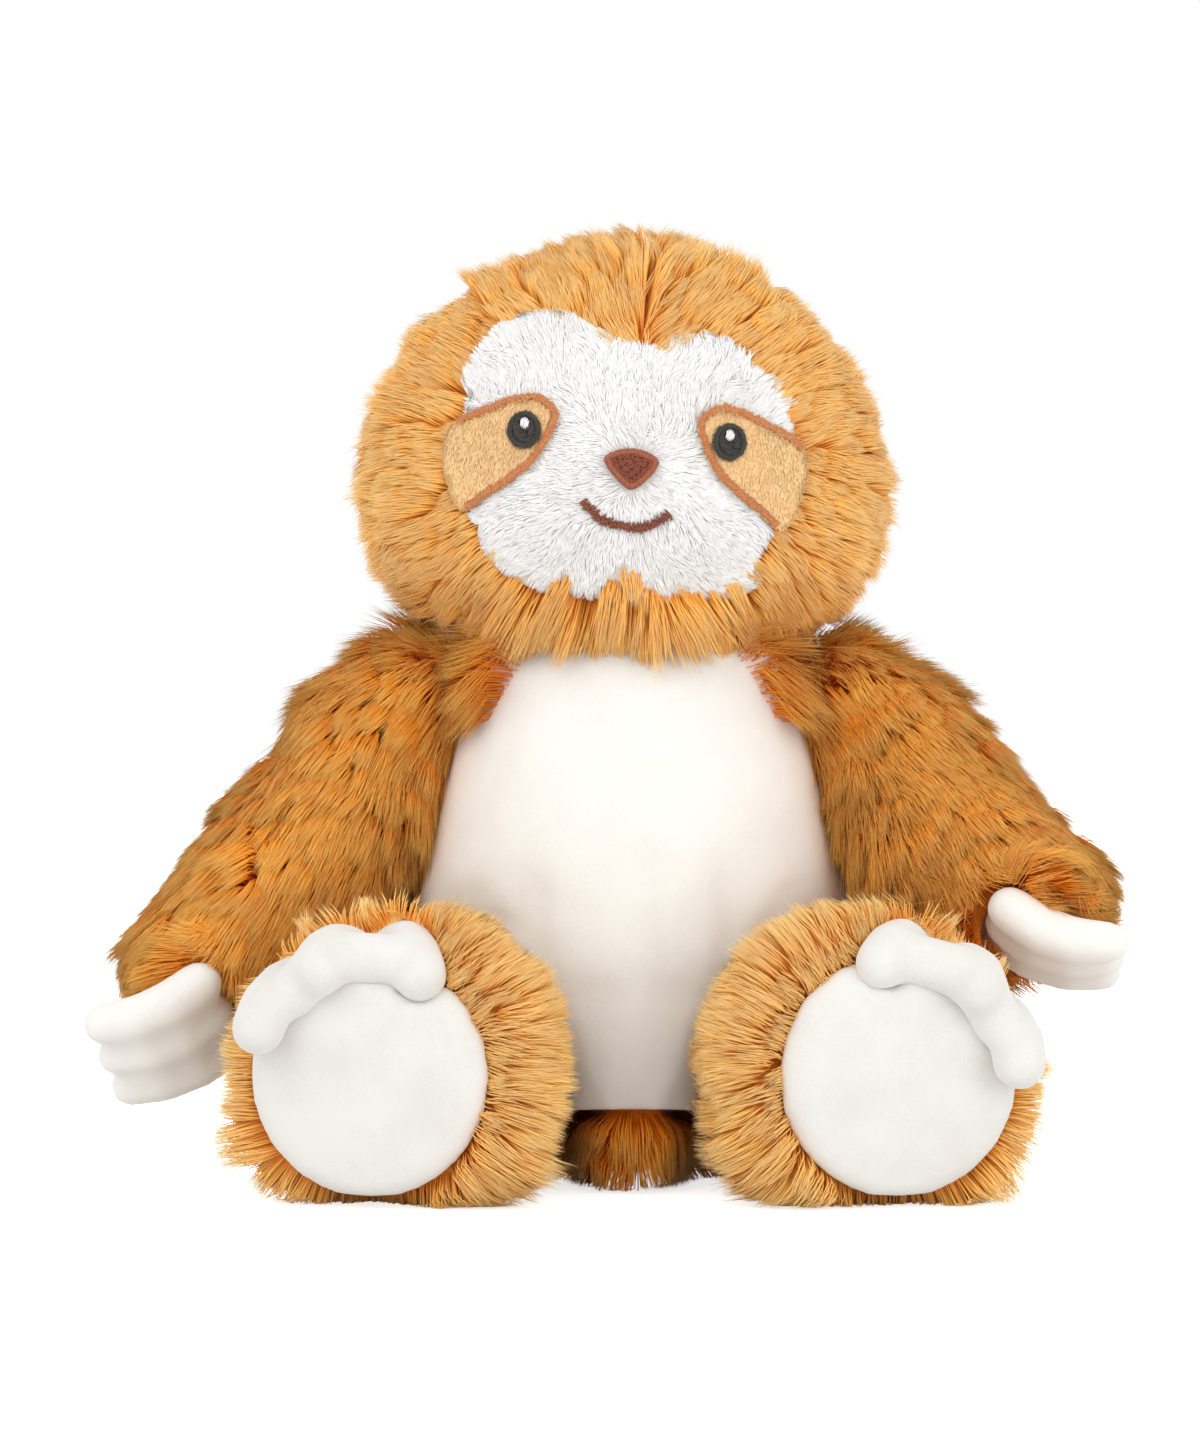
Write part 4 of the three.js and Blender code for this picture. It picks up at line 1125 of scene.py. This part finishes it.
def seen_directly(tree):
    """Whether a ray comes from the camera, from a mirror or through glass."""
    path = add_node(tree, "ShaderNodeLightPath")
    seen = path.outputs["Is Camera Ray"]
    for other in ("Is Glossy Ray", "Is Transmission Ray"):
        either = add_node(tree, "ShaderNodeMath", {0: seen, 1: path.outputs[other]}, operation="MAXIMUM")
        seen = either.outputs[0]
    return seen


def build_stage():
    """A pale round floor in a white room, soft light from the front and above, and the camera."""
    rim = ellipse((0, 0), (2 * FLOOR_RADIUS, 2 * FLOOR_RADIUS), divisions=48)
    floor = link("floor_disc", mesh_of("floor_disc", [(x, y, 0) for x, y in rim], [range(len(rim))]))
    material, tree, shader = new_material("pale_floor", Roughness=0.9, Specular_IOR_Level=0.1)
    shader.inputs["Base Color"].default_value = (0.9, 0.9, 0.9, 1)
    glow = add_node(tree, "ShaderNodeEmission", {"Color": (1, 1, 1, 1), "Strength": 0.75})
    lifted = add_node(tree, "ShaderNodeAddShader", {0: shader.outputs[0], 1: glow.outputs[0]})
    mixed = add_node(tree, "ShaderNodeMixShader",
                     {0: seen_directly(tree), 1: shader.outputs[0], 2: lifted.outputs[0]})
    tree.links.new(mixed.outputs[0], tree.nodes["Material Output"].inputs["Surface"])
    floor.data.materials.append(material)

    world = bpy.data.worlds.new("studio")
    bpy.context.scene.world = world
    world.use_nodes = True
    tree = world.node_tree
    background = tree.nodes["Background"]
    strength = add_node(tree, "ShaderNodeMapRange", {0: seen_directly(tree), 3: 0.94, 4: 1.0})
    background.inputs["Color"].default_value = (1, 1, 1, 1)
    tree.links.new(strength.outputs[0], background.inputs["Strength"])

    for place, power, size in SOFT_BOXES:
        light = bpy.data.lights.new("soft_box", "AREA")
        light.size = size
        light.energy = power
        lamp = link("soft_box", light)
        lamp.location = place
        lamp.rotation_euler = (Vector(LIGHT_AIM) - Vector(place)).to_track_quat("-Z", "Y").to_euler()

    camera = bpy.data.cameras.new("photo_camera")
    camera.sensor_width = SENSOR
    camera.lens = SENSOR * CAMERA_DISTANCE / VIEW_HEIGHT
    camera.clip_start, camera.clip_end = 0.05, 20
    eye = link("photo_camera", camera)
    eye.location = (CAMERA_X, -CAMERA_DISTANCE, CAMERA_HEIGHT)
    eye.rotation_euler = (math.radians(90), 0, 0)
    bpy.context.scene.camera = eye
    bpy.context.scene.view_settings.view_transform = "Standard"


build_torso()
build_neck()
build_label()
for side_name, side_sign in SIDES.items():
    build_arm(side_name, side_sign)
    build_leg(side_name, side_sign)
build_hood()
build_face()
bpy.data.objects.remove(head_form)
build_stage()
